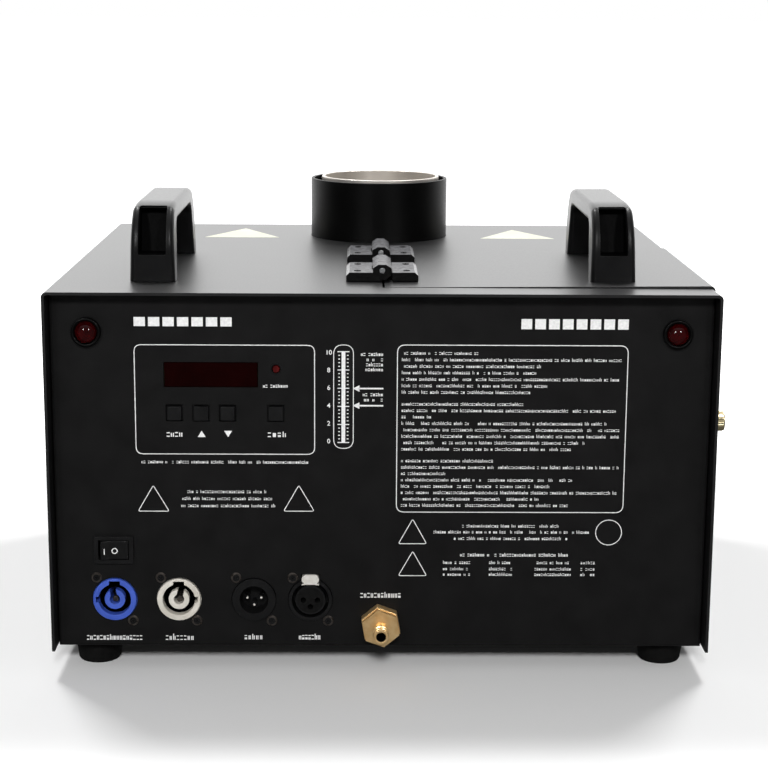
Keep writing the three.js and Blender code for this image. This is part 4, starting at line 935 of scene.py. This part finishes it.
def narrowButton(shape):
    for i in (0, 2):
        spread = [vert.co[i] for vert in shape.verts]
        middle = (min(spread) + max(spread)) / 2
        for vert in shape.verts:
            vert.co[i] = middle + (vert.co[i] - middle) * fitted["buttonShare"]


def flattenBarrel(shape):
    for vert in shape.verts:
        rise = vert.co.z - lidHinge.z
        if rise > 0 and math.hypot(vert.co.x, rise) > fitted["barrelBore"]:
            vert.co.z = lidHinge.z + rise * fitted["barrelShare"]


for key in ("mode", "up", "down", "reset"):
    refine(key + "_button", "blackPlastic", fitted["buttonEdge"], change=narrowButton)
for row in ("front", "rear"):
    for leaf in ("fixed", "lid"):
        refine(row + "_hinge_" + leaf + "_leaf", "hingePaint", fitted["hingeEdge"], change=flattenBarrel)

ledRing = {"inner": 2.35, "outer": 2.95, "proud": 0.45, "back": 0.1, "round": 0.15}
ledShape = ringProfile(
    ledRing["inner"], ledRing["outer"], -ledRing["back"], ledRing["proud"], ledRing["round"])
addPiece("led_ring", lathe(ledShape, "front", facePoint("signal_led"), 40), "blackPlastic")

# Gas inlet: the hexagons of the fitting, with a turned hose nipple of two ridges and a tip
nipple = {
    "hold": 6, "shoulder": 3.3, "edge": 0.35, "bore": 2.6, "tip": 3.95, "tipRun": 2.2, "tipSlope": 0.4,
    "waist": 2.95, "ridge": 4.15, "ridgeRun": 1.2, "ridgeBack": 0.5, "slope": 1.5, "pitch": 4.1, "root": 3.7,
    "seat": 0.4, "round": 0.3, "shadeSkin": 0.25, "shadeGap": 0.02, "shadeRun": 20, "shadeIn": 0.4,
    "shadeRound": 0.05, "nutShare": 1.07, "nutHold": 8.4,
}


def buildInlet():
    n = nipple
    hold, bore, waist, ridge = n["hold"], n["bore"], n["waist"], n["ridge"]
    nut = middleOf("gas_inlet_nut")
    axis = Vector((nut.x, 0, nut.z))
    end = boxOf("gas_inlet_fitting")[0].y
    face = boxOf("gas_inlet_nut")[0].y - n["shoulder"]
    cutter = moved(block((-hold, end - hold, -hold), (hold, face, hold)), axis)
    body = bevelled(carve(nodeShape("gas_inlet_fitting"), cutter), n["edge"])
    profile = [(bore, -face - n["seat"]), (n["root"], -face - n["seat"])]
    for i in (2, 1):
        back = -end - i * n["pitch"]
        front = back + n["ridgeRun"]
        profile += [(waist, back - n["slope"]), (ridge, back), (ridge, front),
                    (waist, front + n["ridgeBack"])]
    tipBack = -end - n["tipRun"]
    profile += [(waist, tipBack), (n["tip"], tipBack + n["tipSlope"]), (n["tip"], -end), (bore, -end)]
    turned = lathe(soften(profile, n["round"], 3), "front", axis, 56)
    addPiece("gas_inlet_turned", joined([body, turned]), "brass", replaced=("gas_inlet_fitting",), smooth=30)
    # Painted shade: a near-black sleeve inside the bore darkens it
    low, high = -end - n["shadeRun"], -end - n["shadeIn"]
    shadeSkin = ringProfile(bore - n["shadeSkin"], bore - n["shadeGap"], low, high, n["shadeRound"])
    addPiece("gas_inlet_bore", lathe(shadeSkin, "front", axis, 40), "shadeBlack")


# The nut shows a little wider than the fitting in front of it
def widenNut(shape):
    centre = middleOf("gas_inlet_nut")
    for vert in shape.verts:
        if math.hypot(vert.co.x - centre.x, vert.co.z - centre.z) > nipple["nutHold"]:
            vert.co.x = centre.x + (vert.co.x - centre.x) * nipple["nutShare"]
            vert.co.z = centre.z + (vert.co.z - centre.z) * nipple["nutShare"]


buildInlet()
refine("gas_inlet_nut", "brass", nipple["edge"], change=widenNut)

# Rocker: a dished face that leans to its off end, with a bar and a ring printed on it
rocker = {
    "length": 14.6, "tall": 10.2, "front": 3.6, "dish": 1.4, "back": 1.2, "keel": 4.5, "keelHalf": 3,
    "pivot": 0.6, "lean": math.radians(10), "edge": 0.45, "steps": 16, "print": 0.16, "drop": 0.4,
    "barX": -5.35, "barWidth": 0.5, "barTall": 3.1, "barCore": 0.01,
    "ringX": 0.15, "ringRadius": 1.38, "ringLine": 0.5, "ringSides": 32,
}


def rockerFace(x):
    end = rocker["length"] / 2
    return -rocker["front"] + rocker["dish"] * (1 - (x / end) ** 2)


def placeRocker(shape):
    centre = middleOf("power_switch_body")
    switch = Vector((centre.x, casing["panelFace"] + rocker["pivot"], centre.z))
    shape.transform(Matrix.Translation(switch) @ Matrix.Rotation(rocker["lean"], 4, "Z"))
    return shape


# A printed outline bent onto the rocker's face
def rockerInk(outer, inner):
    shape = bmesh.new()
    rings = []
    for points, lift in ((outer, 0), (outer, rocker["print"]), (inner, rocker["print"]), (inner, 0)):
        rings.append([shape.verts.new((x, rockerFace(x) - lift, z - rocker["drop"])) for x, z in points])
    for one, two in zip(rings, rings[1:] + rings[:1]):
        for i in range(len(outer)):
            j = (i + 1) % len(outer)
            shape.faces.new((one[i], one[j], two[j], two[i]))
    return finished(shape)


def buildRocker():
    r = rocker
    end, half, keel = r["length"] / 2, r["tall"] / 2, r["keelHalf"]
    face = [end * (2 * i / r["steps"] - 1) for i in range(r["steps"] + 1)]
    outline = [(x, rockerFace(x)) for x in face]
    outline += [(end, r["back"]), (keel, r["keel"]), (-keel, r["keel"]), (-end, r["back"])]
    body = bevelled(prism(outline, "z", -half, half), r["edge"], 3, 50)
    addPiece("rocker_cap", placeRocker(body), "blackPlastic", "rocker", ("power_switch_rocker",))
    bar, core = (
        [(r["barX"] - w, -t), (r["barX"] + w, -t), (r["barX"] + w, t), (r["barX"] - w, t)]
        for w, t in ((r["barWidth"] / 2, r["barTall"] / 2), (r["barCore"], r["barCore"])))
    ring, hole = (
        circle(r["ringRadius"] + reach, r["ringSides"], r["ringX"])
        for reach in (r["ringLine"] / 2, -r["ringLine"] / 2))
    marks = joined([rockerInk(bar, core), rockerInk(ring, hole)])
    addPiece("rocker_print", placeRocker(marks), "whiteInk", "rocker")


buildRocker()


# Power sockets: a ring with two key notches, a deep cup and a boss whose slot leans to one side
socket = {
    "radius": 11.6, "proud": 1.2, "cup": 8.6, "cupDepth": 13, "length": 24, "edge": 0.5, "fineEdge": 0.18,
    "boss": 5.55, "bossDrop": -0.5, "bossEdge": 0.3, "key": 2.7, "slot": 3.3, "slotLean": 12, "steps": 28,
    "notch": 5.9, "notchIn": 1.6, "notchRise": 1.6, "notchDepth": 6,
    "side": 3.2, "sideIn": 0.8, "sideRise": 1.5, "overrun": 1, "sunk": 0.5,
    "flange": (13, 15.5), "flangeBack": (1.8, 3.8), "flangeIn": 0.5, "hollow": 10,
    "slack": 0.05, "floorBack": 0.1, "floor": 0.5, "pit": 0.6, "pitSlack": 0.1, "shadeFrom": 3.6, "shadeThick": 0.25,
    "shadeSlack": 0.03, "shadeEdge": 0.05,
    "contact": 1.7, "contactDrop": 3, "contactRound": 0.5, "contactLow": 0.9,
}


def bossOutline(lean):
    s = socket
    up = math.pi / 2 + math.radians(s["slotLean"]) * lean
    points = []
    for radius, turn in ((s["boss"], 1), (s["key"], -1)):
        gap = math.asin(s["slot"] / 2 / radius)
        for i in range(s["steps"] + 1):
            angle = up + turn * (gap + (2 * math.pi - 2 * gap) * i / s["steps"])
            points.append((radius * math.cos(angle), radius * math.sin(angle)))
    return points


def buildPowerSocket(node, finish, lean):
    s = socket
    radius, cup, depth, proud, boss = (s[key] for key in ("radius", "cup", "cupDepth", "proud", "boss"))
    at = facePoint(node)
    rim = [(cup, -depth), (cup, proud), (radius, proud), (radius, -s["length"]), (0, -s["length"])]
    ring = lathe([(0, -depth)] + soften(rim, s["edge"], 4, False), "front")
    front, notch, side = -proud - s["overrun"], s["notch"] / 2, s["side"] / 2
    top = block((-notch, front, cup - s["notchIn"]), (notch, s["notchDepth"], cup + s["notchRise"]))
    near, far = sorted((-lean * (cup - s["sideIn"]), -lean * (cup + s["sideRise"])))
    beside = block((near, front, -side), (far, s["notchDepth"], side))
    ring = bevelled(carve(ring, top, beside), s["fineEdge"], 2, 45)
    core = bevelled(prism(bossOutline(lean), "y", s["bossDrop"], depth + s["sunk"]), s["bossEdge"], 2, 45)
    flangeX, flangeZ = s["flange"]
    flange = block((-flangeX, s["flangeBack"][0], -flangeZ), (flangeX, s["flangeBack"][1], flangeZ))
    hollow = rod(radius - s["flangeIn"], -s["hollow"], s["hollow"], "front")
    shape = moved(joined([ring, core, carve(flange, hollow)]), at)
    addPiece(node + "_moulding", shape, finish, replaced=(node,))
    # Painted shade: a near-black floor, a plug in the key pit and skins on the deeper walls of the cup and
    # the boss darken the cup's depth
    low, slack = -depth - s["floorBack"], s["slack"]
    floor = ringProfile(boss + slack, cup - slack, low, s["floor"] - depth)
    pit = rod(s["key"] - s["pitSlack"], low, s["pit"] - depth, "front", at)
    shapes = [lathe(floor, "front", at), pit]
    for inner in (cup - s["shadeThick"], boss):
        outer = inner + s["shadeThick"] - s["shadeSlack"]
        sleeve = ringProfile(inner, outer, -depth, -s["shadeFrom"], s["shadeEdge"])
        shapes.append(lathe(sleeve, "front", at))
    addPiece(node + "_floor", joined(shapes), "shadeBlack")
    tip = [(0, -depth), (s["contact"], -depth), (s["contact"], -s["contactDrop"]), (0, -s["contactDrop"])]
    place = at - Vector((0, 0, s["contactLow"]))
    contact = lathe(soften(tip, s["contactRound"], 4, False), "front", place, 32)
    addPiece(node + "_contact", contact, "darkSteel")


buildPowerSocket("power_in_socket", "bluePlastic", 1)
buildPowerSocket("power_out_socket", "greyPlastic", -1)

# Signal sockets: bright pins in one, and a darker insert with three blind holes in the other
signal = {
    "pinPitch": 3.75, "pinDrop": 4.0, "pinRise": 0.3, "pin": 0.61, "stem": 0.42,
    "head": 1.2, "headSlope": 0.4, "floor": 11.8, "tip": 1.6, "round": 0.5,
    "insert": 7.1, "hole": 1.5, "holeDepth": 3, "proud": 1.2,
    "sunk": 0.05, "film": 0.12,
}


def buildPins():
    s = signal
    at = facePoint("signal_in_socket")
    stem, pin, tip = s["stem"], s["pin"], -s["tip"]
    neck = tip - s["head"]
    profile = [(0, -s["floor"]), (stem, -s["floor"]), (stem, neck - s["headSlope"]), (pin, neck), (pin, tip),
               (0, tip)]
    profile = soften(profile, s["round"], 5, False)
    high = s["pinRise"]
    pins = []
    for x, z in ((-s["pinPitch"], high), (s["pinPitch"], high), (0, high - s["pinDrop"])):
        pins.append(lathe(profile, "front", (at.x + x, at.y, at.z + z), 24))
    addPiece("signal_pins", joined(pins), "paleSteel")


def buildInsert():
    s = signal
    at = facePoint("signal_out_socket")
    disc = rod(s["insert"], s["proud"] - s["sunk"], s["proud"] + s["film"], "front", at)
    holes = []
    for x, z in ((-s["pinPitch"], 0), (s["pinPitch"], 0), (0, -s["pinPitch"])):
        holes.append(rod(s["hole"], 0, s["holeDepth"], "front", (at.x + x, at.y, at.z + z), 32))
    addPiece("signal_out_insert", carve(disc, *holes), "rubber")


# The pressed release tab; its outline is in shares of its half width and height, on one side
tab = {
    "rise": 0.4, "half": 4.75, "tall": 2.9, "proud": 1.5, "depth": 6, "round": 0.8, "edge": 0.35,
    "side": ((0, 1), (0.6, 1), (0.92, 0.6), (1, 0), (0.92, -0.4), (0.66, -0.66), (1, -0.88), (0.96, -1),
             (0.6, -0.9), (0, -0.9)),
}


def buildTab():
    at = facePoint("signal_out_release_tab") + Vector((0, 0, tab["rise"]))
    right = [(x * tab["half"], z * tab["tall"]) for x, z in tab["side"]]
    left = [(-x, z) for x, z in reversed(right[1:-1])]
    outline = [(at.x + x, at.z + z) for x, z in soften(right + left, tab["round"], 4)]
    shape = prism(outline, "y", at.y - tab["proud"], at.y + tab["depth"])
    shape = bevelled(shape, tab["edge"], 3, 50)
    addPiece("release_tab_cap", shape, "paleSteel", "release_tab", ("signal_out_release_tab",))


buildPins()
buildInsert()
buildTab()
print("fittings dressed")


# Printed marks on the front panel. Words are left as blank signs, and only plain figures
# are kept. Places are (x, z) on the panel, with z measured from the cover's lower edge.
ink = {
    "thick": 0.05, "back": 0.02, "lift": 0.02, "frame": 0.44, "fine": 0.4,
    "small": {"Pitch": 1.14, "Height": 1.7, "Stroke": 0.27, "Gap_Share": 0.16},
    "bold": {"Pitch": 1.3, "Height": 1.9, "Stroke": 0.38, "Gap_Share": 0.12},
    "label": {"Pitch": 1.7, "Height": 3.3, "Stroke": 0.54, "Gap_Share": 0.0},
    "key": {"Pitch": 2.12, "Height": 3.1, "Stroke": 0.55, "Gap_Share": 0.0},
}
inkShapes = []


def panelSpot(x, z, proud=0.0):
    return (x, casing["panelFace"] - proud, z + casing["foot"])


def inkPlate(points):
    shifted = [(x, z + casing["foot"]) for x, z in points]
    face = casing["panelFace"]
    inkShapes.append(prism(shifted, "y", face - ink["thick"], face + ink["back"]))


# A closed line of even width along an outline
def inkOutline(points, width):
    count = len(points)
    rings = [[], []]
    for i, point in enumerate(points):
        here = Vector(point)
        before = (here - Vector(points[i - 1])).normalized()
        after = (Vector(points[(i + 1) % count]) - here).normalized()
        normal = Vector((-(before + after).y, (before + after).x)).normalized()
        reach = width / 2 / max(0.3, normal.dot(Vector((-after.y, after.x))))
        rings[0].append(here + normal * reach)
        rings[1].append(here - normal * reach)
    shape = bmesh.new()
    levels = []
    for proud in (ink["thick"], -ink["back"]):
        for ring in rings:
            levels.append([shape.verts.new(panelSpot(p.x, p.y, proud)) for p in ring])
    for one, two in ((0, 1), (1, 3), (3, 2), (2, 0)):
        for i in range(count):
            j = (i + 1) % count
            shape.faces.new((levels[one][i], levels[one][j], levels[two][j], levels[two][i]))
    inkShapes.append(finished(shape))


def inkWords(style, lines):
    points, edges = [], []
    for left, right, low in lines:
        edges.append((len(points), len(points) + 1))
        points += [panelSpot(left, low, ink["lift"]), panelSpot(right, low, ink["lift"])]
    inkShapes.append(grow(markTree, "whiteInk", points, edges, Depth=ink["thick"], **ink[style]))


def inkNumber(text, x, z, size, swell):
    curve = bpy.data.curves.new("figure", "FONT")
    curve.body = text
    curve.size = size
    curve.align_x = "CENTER"
    curve.align_y = "CENTER"
    curve.extrude = ink["thick"] / 2
    curve.resolution_u = 3
    curve.offset = size * swell
    holder = bpy.data.objects.new("figure", curve)
    scene.collection.objects.link(holder)
    graph = bpy.context.evaluated_depsgraph_get()
    mesh = bpy.data.meshes.new_from_object(holder.evaluated_get(graph))
    bpy.data.objects.remove(holder)
    place = Matrix.Translation(panelSpot(x, z, ink["thick"] / 2))
    mesh.transform(place @ Matrix.Rotation(math.pi / 2, 4, "X"))
    shape = bmesh.new()
    shape.from_mesh(mesh)
    bpy.data.meshes.remove(mesh)
    inkShapes.append(finished(shape))


# Frames, as left, low, right, high, corner radius, steps and line; the same for the blank
# triangles, without radius, and for the rows of blank plates, with their count
drawn = {
    "frames": (
        (-129.4, 105.7, -35.4, 164.2, 3.8, 6, "frame"),
        (-25.4, 109.0, -15.1, 164.5, 5.1, 8, "fine"),
        (7.9, 74.3, 128.5, 164.6, 4.2, 6, "frame"),
    ),
    "triangles": ((-129.0, 74.4, -112.6, 88.5), (-51.9, 74.6, -35.7, 88.8), (9.2, 56.8, 24.2, 70.4),
                  (9.3, 39.0, 24.4, 52.6)),
    "triangleRound": 1.1,
    "disc": (6.9, 40, 121.3, 63.3),
    "plates": ((-129.3, 174.0, -78.4, 178.8, 7), (72.3, 173.2, 128.3, 178.6, 8)),
    "plateGap": 1.6,
    "keyArrows": (((-96.9, 114.9), (-92.7, 114.9), (-94.8, 118.3)),
                  ((-83.0, 118.3), (-80.9, 114.9), (-78.8, 118.3))),
}
# The measuring scale's bar, ticks and figures, and the two arrows that point at it
gauge = {
    "bar": (-21.3, 112.2, -19.3, 160.9), "tickX": -20.3, "figureX": -28.0, "figure": 3.5, "swell": 0.012,
    "figureZ": (112.8, 122.4, 132.0, 141.6, 151.0, 160.4),
    "arrowZ": (141.3, 132.1), "shaft": (-12.4, 0.6, 0.4), "head": (-15.4, -11.9, 1.75),
    "ticks": {"Count": 26, "Step": 1.948, "Bar_Width": 6.2, "Dot_Offset": 2.25, "Stroke": 0.5},
}
# Lines of signs, as left, right and foot; each row of these tables is one growth of signs
displayWords = (
    ("key", ((-112.4, -105.8, 115.0), (-59.2, -51.4, 115.0))),
    ("bold", ((-63.2, -50.1, 141.6),)),
)
words = (
    ("label", ((-157.4, -146.8, 2.5), (-145.0, -138.0, 2.5), (-136.2, -129.0, 2.5), (-115.0, -101.4, 2.5),
               (-72.6, -64.4, 2.9), (-43.4, -33.2, 2.9))),
    ("label", ((-10.3, 9.9, 26.6),)),
    ("small", ((-127.4, -39.3, 100.6), (-102.4, -61.6, 84.4), (-105.1, -58.5, 80.6), (-106.8, -56.9, 76.7))),
    ("bold", ((-12.0, -0.2, 158.7), (-7.7, -0.2, 155.9), (-9.3, -0.2, 153.2), (-8.3, -0.2, 150.6))),
    ("bold", ((-11.0, -0.2, 137.2), (-9.0, -0.2, 134.4))),
)
# The long text: where its lines end, top to bottom, in three blocks, and the notes below it
longText = {
    "start": 10.7, "pitch": 3.47, "drop": 1.9,
    "blocks": (
        (161.4, (49.6, 124.8, 82.5, 80.1, 124.8, 86.0, 77.2)),
        (134.2, (73.7, 122.5, 25.3, 118.9, 124.7, 124.5, 106.5, 100.6)),
        (103.5, (58.3, 125.0, 35.5, 100.5, 88.5, 124.3, 82.9, 99.7)),
    ),
    "notes": [(43.5, 94.0, 65.9), (28.2, 110.3, 62.6), (39.2, 98.8, 59.0)],
    "columns": ((33.6, 47.2), (58.2, 69.7), (82.6, 101.2), (107.3, 113.9)), "columnLows": (45.6, 42.1, 39.0),
    "heading": [(41.4, 100.6, 49.8)],
}


def corners(left, low, right, high):
    return [(left, low), (right, low), (right, high), (left, high)]


def printGauge():
    g = gauge
    inkPlate(corners(*g["bar"]))
    seeds = [panelSpot(g["tickX"], g["bar"][1], ink["lift"])]
    inkShapes.append(grow(scaleTree, "whiteInk", seeds, Depth=ink["thick"], **g["ticks"]))
    for i, z in enumerate(g["figureZ"]):
        inkNumber(str(2 * i), g["figureX"], z, g["figure"], g["swell"])
    back, front, half = g["shaft"]
    point, neck, wing = g["head"]
    for z in g["arrowZ"]:
        inkPlate(corners(back, z - half, front, z + half))
        inkPlate([(point, z), (neck, z - wing), (neck, z + wing)])


def printPanel():
    for left, low, right, high, radius, steps, line in drawn["frames"]:
        inkOutline(soften(corners(left, low, right, high), radius, steps), ink[line])
    printGauge()
    for arrow in drawn["keyArrows"]:
        inkPlate(arrow)
    for style, lines in displayWords:
        inkWords(style, lines)
    for left, low, right, high, count in drawn["plates"]:
        step = (right - left + drawn["plateGap"]) / count
        for i in range(count):
            inkPlate(corners(left + i * step, low, left + (i + 1) * step - drawn["plateGap"], high))
    for style, lines in words:
        inkWords(style, lines)
    for left, low, right, high in drawn["triangles"]:
        triangle = [(left, low), (right, low), ((left + right) / 2, high)]
        inkOutline(soften(triangle, drawn["triangleRound"], 5), ink["fine"])
    inkOutline(circle(*drawn["disc"]), ink["fine"])


def printText():
    t = longText
    lines = []
    for top, ends in t["blocks"]:
        lines += [(t["start"], end, top - t["drop"] - i * t["pitch"]) for i, end in enumerate(ends)]
    lines += t["notes"]
    for low in t["columnLows"]:
        lines += [(left, right, low) for left, right in t["columns"]]
    inkWords("small", lines)
    inkWords("bold", t["heading"])


printPanel()
printText()
addPiece("panel_print", joined(inkShapes), "whiteInk")

# Two plain stickers on the top, behind the handles
stickers = {
    "round": 1.6, "sunk": 0.02, "thick": 0.06,
    "corners": (((-111, 229), (-63, 229), (-87.5, 277)), ((64, 228.5), (112, 228.5), (88.3, 275))),
}
stickerShapes = []
for outline in stickers["corners"]:
    low, high = casing["top"] - stickers["sunk"], casing["top"] + stickers["thick"]
    stickerShapes.append(prism(soften(outline, stickers["round"], 5), "z", low, high))
addPiece("top_stickers", joined(stickerShapes), "paleYellow")
print("panel printed")


# Countersunk screws that hold the sockets, and the screws of the hinge leaves
screws = {
    "socketX": 9.5, "socketZ": 12.0, "socketHead": 2.95, "headHeight": 0.5, "recess": 0.55,
    "shadeShare": 0.72, "shadeRise": 0.12, "leafHead": 2.0, "leafX": 13.2, "leafEnds": 7.0, "leafTop": 4.9,
}
# The screws that hold the cover to the tray and to the rear panel
coverScrews = {"head": 3.2, "height": 0.9, "recess": 0.7, "ends": 16, "rise": 9, "rearIn": 9, "rearDrop": 14}


def screwsOn(spots, facing, head, height, recess):
    return grow(
        screwTree, "zincSteel", spots, Head_Radius=head, Head_Height=height, Recess=recess, Facing=facing)


def addSocketScrews():
    s = screws
    spots = []
    for node in ("power_in_socket", "power_out_socket", "signal_in_socket", "signal_out_socket"):
        for turn in (-1, 1):
            spots.append(facePoint(node) + turn * Vector((s["socketX"], 0, -s["socketZ"])))
    head, height, front = s["socketHead"], s["headHeight"], (0, -1, 0)
    addPiece("socket_screws", screwsOn(spots, front, head, height, s["recess"]), "darkSteel")
    # Painted shade: a smaller black copy of each head, a little proud, darkens its middle and leaves a paler
    # rim
    core = screwsOn(spots, front, head * s["shadeShare"], height + s["shadeRise"], s["recess"])
    addPiece("socket_screw_cores", core, "blackPlastic")


def addCoverScrews():
    c = coverScrews
    half, depth, foot, top = casing["halfWidth"], casing["depth"], casing["foot"], casing["top"]
    rear = boxOf("rear_panel")[1].y
    side = half - casing["sheet"] - c["rearIn"]
    sets = []
    for turn in (-1, 1):
        places = (c["ends"], depth / 2, depth - c["ends"])
        sets.append(([(turn * half, y, foot + c["rise"]) for y in places], (turn, 0, 0)))
    levels = (foot + c["rearDrop"], top - c["rearDrop"])
    sets.append(([(x, rear, z) for x in (-side, 0, side) for z in levels], (0, 1, 0)))
    shapes = [screwsOn(spots, facing, c["head"], c["height"], c["recess"]) for spots, facing in sets]
    addPiece("cover_screws", joined(shapes), "blackPlastic")


def addLeafScrews(side, turn, body):
    s = screws
    spots = []
    for row in ("front", "rear"):
        low, high = boxOf(row + "_hinge_fixed_leaf")
        for y in (low.y + s["leafEnds"], high.y - s["leafEnds"]):
            spots.append((turn * s["leafX"], y, casing["top"] + s["leafTop"]))
    shape = screwsOn(spots, (0, 0, 1), s["leafHead"], s["headHeight"], s["recess"])
    addPiece(side + "_leaf_screws", shape, "blackPlastic", body, tilt=body == "lid")


addSocketScrews()
addCoverScrews()
addLeafScrews("cover", -1, "chassis")
addLeafScrews("lid", 1, "lid")
print("screws set")


# Camera, lights, backdrop and floor

viewpoint = {
    "place": (-11.17, -914.07, 350.99), "yaw": 0.7497, "pitch": 11.7598, "roll": 0.3761,
    "lens": 84.64, "sensor": 36, "nearest": 0.01,
}


def addCamera():
    yaw, pitch, roll = (math.radians(viewpoint[key]) for key in ("yaw", "pitch", "roll"))
    ahead = Vector((math.sin(yaw) * math.cos(pitch), math.cos(yaw) * math.cos(pitch), -math.sin(pitch)))
    right = Vector((math.cos(yaw), -math.sin(yaw), 0))
    turn = Matrix.Rotation(-roll, 3, ahead)
    axes = Matrix((turn @ right, turn @ right.cross(ahead), -ahead)).transposed()
    data = bpy.data.cameras.new("camera")
    data.lens = viewpoint["lens"]
    data.sensor_width = viewpoint["sensor"]
    data.clip_start = viewpoint["nearest"]
    camera = bpy.data.objects.new("camera", data)
    camera.matrix_world = Matrix.Translation(toFrame @ Vector(viewpoint["place"])) @ axes.to_4x4()
    scene.collection.objects.link(camera)
    scene.camera = camera


# The room is dim in front of the machine and white behind and above it: how bright it is to
# a shine, to soft light, and over which part of each direction it brightens
studio = {
    "fromFront": 0.14, "fromBack": 1.68, "fromAbove": 0.4, "backSpan": (0.15, 0.92), "aboveSpan": (0.5, 0.95),
    "diffuse": 0.3, "diffuseSpan": (0.0, 0.6), "floorRadius": 60, "floorTint": 0.92, "glowSpan": (0.35, 0.52),
    "lights": [
        # name, place, aim, size, watts, shows as a shine, lights the colours
        ("back left key", (-0.56, 0.56, 1.62), (0, 0, 0), 0.32, 14, True, True),
        ("back right key", (0.56, 0.56, 1.62), (0, 0, 0), 0.32, 14, True, True),
        ("front fill", (0, -2.12, 1.2), (0, 0, 0.1), 0.35, 36.5, False, True),
        ("front left glint", (-0.9, -2.1, 1.2), (0, 0, 0.15), 0.2, 22, True, False),
        ("front right glint", (0.95, -2.1, 1.25), (0, 0, 0.15), 0.2, 22, True, False),
    ],
}
white = (1, 1, 1, 1)


def addLights():
    for name, place, aim, size, watts, shine, colour in studio["lights"]:
        data = bpy.data.lights.new(name, "AREA")
        data.shape = "SQUARE"
        data.size = size
        data.energy = watts
        light = bpy.data.objects.new(name, data)
        light.location = place
        light.visible_glossy = shine
        light.visible_diffuse = colour
        light.rotation_euler = (Vector(aim) - Vector(place)).to_track_quat("-Z", "Y").to_euler()
        scene.collection.objects.link(light)


def emptyTree(owner):
    owner.use_nodes = True
    owner.node_tree.nodes.clear()
    return owner.node_tree


def roomShade(tree, direction):
    parts = addNode(tree, "ShaderNodeSeparateXYZ", Vector=direction).outputs
    behind = mapRange(tree, parts["Y"], *studio["backSpan"])
    above = mapRange(tree, parts["Z"], *studio["aboveSpan"], 0, studio["fromAbove"])
    brightest = mathNode(tree, "MAXIMUM", behind, above)
    return mapRange(tree, brightest, 0, 1, studio["fromFront"], studio["fromBack"])


def addWorld():
    world = bpy.data.worlds.new("studio")
    tree = emptyTree(world)
    rays = addNode(tree, "ShaderNodeLightPath").outputs
    direction = addNode(tree, "ShaderNodeTexCoord").outputs["Generated"]
    clear = mathNode(tree, "MAXIMUM", rays["Is Camera Ray"], rays["Is Transmission Ray"])
    rise = addNode(tree, "ShaderNodeSeparateXYZ", Vector=direction).outputs["Z"]
    dome = mapRange(tree, rise, *studio["diffuseSpan"], 0, studio["diffuse"])
    plain = addNode(tree, "ShaderNodeMix", Factor=clear, A=dome, B=1.0).outputs["Result"]
    shade = roomShade(tree, direction)
    seen = addNode(tree, "ShaderNodeMix", Factor=rays["Is Glossy Ray"], A=plain, B=shade).outputs["Result"]
    background = addNode(tree, "ShaderNodeBackground", Color=white, Strength=seen).outputs[0]
    addNode(tree, "ShaderNodeOutputWorld", Surface=background)
    scene.world = world


# The floor shows white to the camera and keeps the machine's shadow
def addFloor():
    shape = bmesh.new()
    bmesh.ops.create_circle(shape, cap_ends=True, segments=64, radius=studio["floorRadius"])
    mesh = bpy.data.meshes.new("floor")
    shape.to_mesh(mesh)
    shape.free()
    floor = bpy.data.objects.new("floor", mesh)
    scene.collection.objects.link(floor)
    material = bpy.data.materials.new("floorPaint")
    tree = emptyTree(material)
    rays = addNode(tree, "ShaderNodeLightPath").outputs
    place = addNode(tree, "ShaderNodeTexCoord").outputs["Object"]
    tint = studio["floorTint"]
    matt = addNode(tree, "ShaderNodeBsdfDiffuse", Color=(tint, tint, tint, 1)).outputs[0]
    away = addNode(tree, "ShaderNodeVectorMath", place, settings={"operation": "LENGTH"}).outputs["Value"]
    spread = mapRange(tree, away, *studio["glowSpan"], kind="SMOOTHSTEP")
    glow = addNode(tree, "ShaderNodeEmission", Color=white, Strength=spread).outputs[0]
    lit = addNode(tree, "ShaderNodeAddShader", matt, glow).outputs[0]
    room = addNode(tree, "ShaderNodeEmission", Color=white, Strength=roomShade(tree, place)).outputs[0]
    bounce = addNode(tree, "ShaderNodeMixShader", rays["Is Glossy Ray"], matt, room).outputs[0]
    clear = mathNode(tree, "MAXIMUM", rays["Is Camera Ray"], rays["Is Transmission Ray"])
    shown = addNode(tree, "ShaderNodeMixShader", clear, bounce, lit).outputs[0]
    addNode(tree, "ShaderNodeOutputMaterial", Surface=shown)
    mesh.materials.append(material)


addCamera()
addLights()
addWorld()
addFloor()
scene.view_settings.view_transform = "Standard"
print("studio set up")
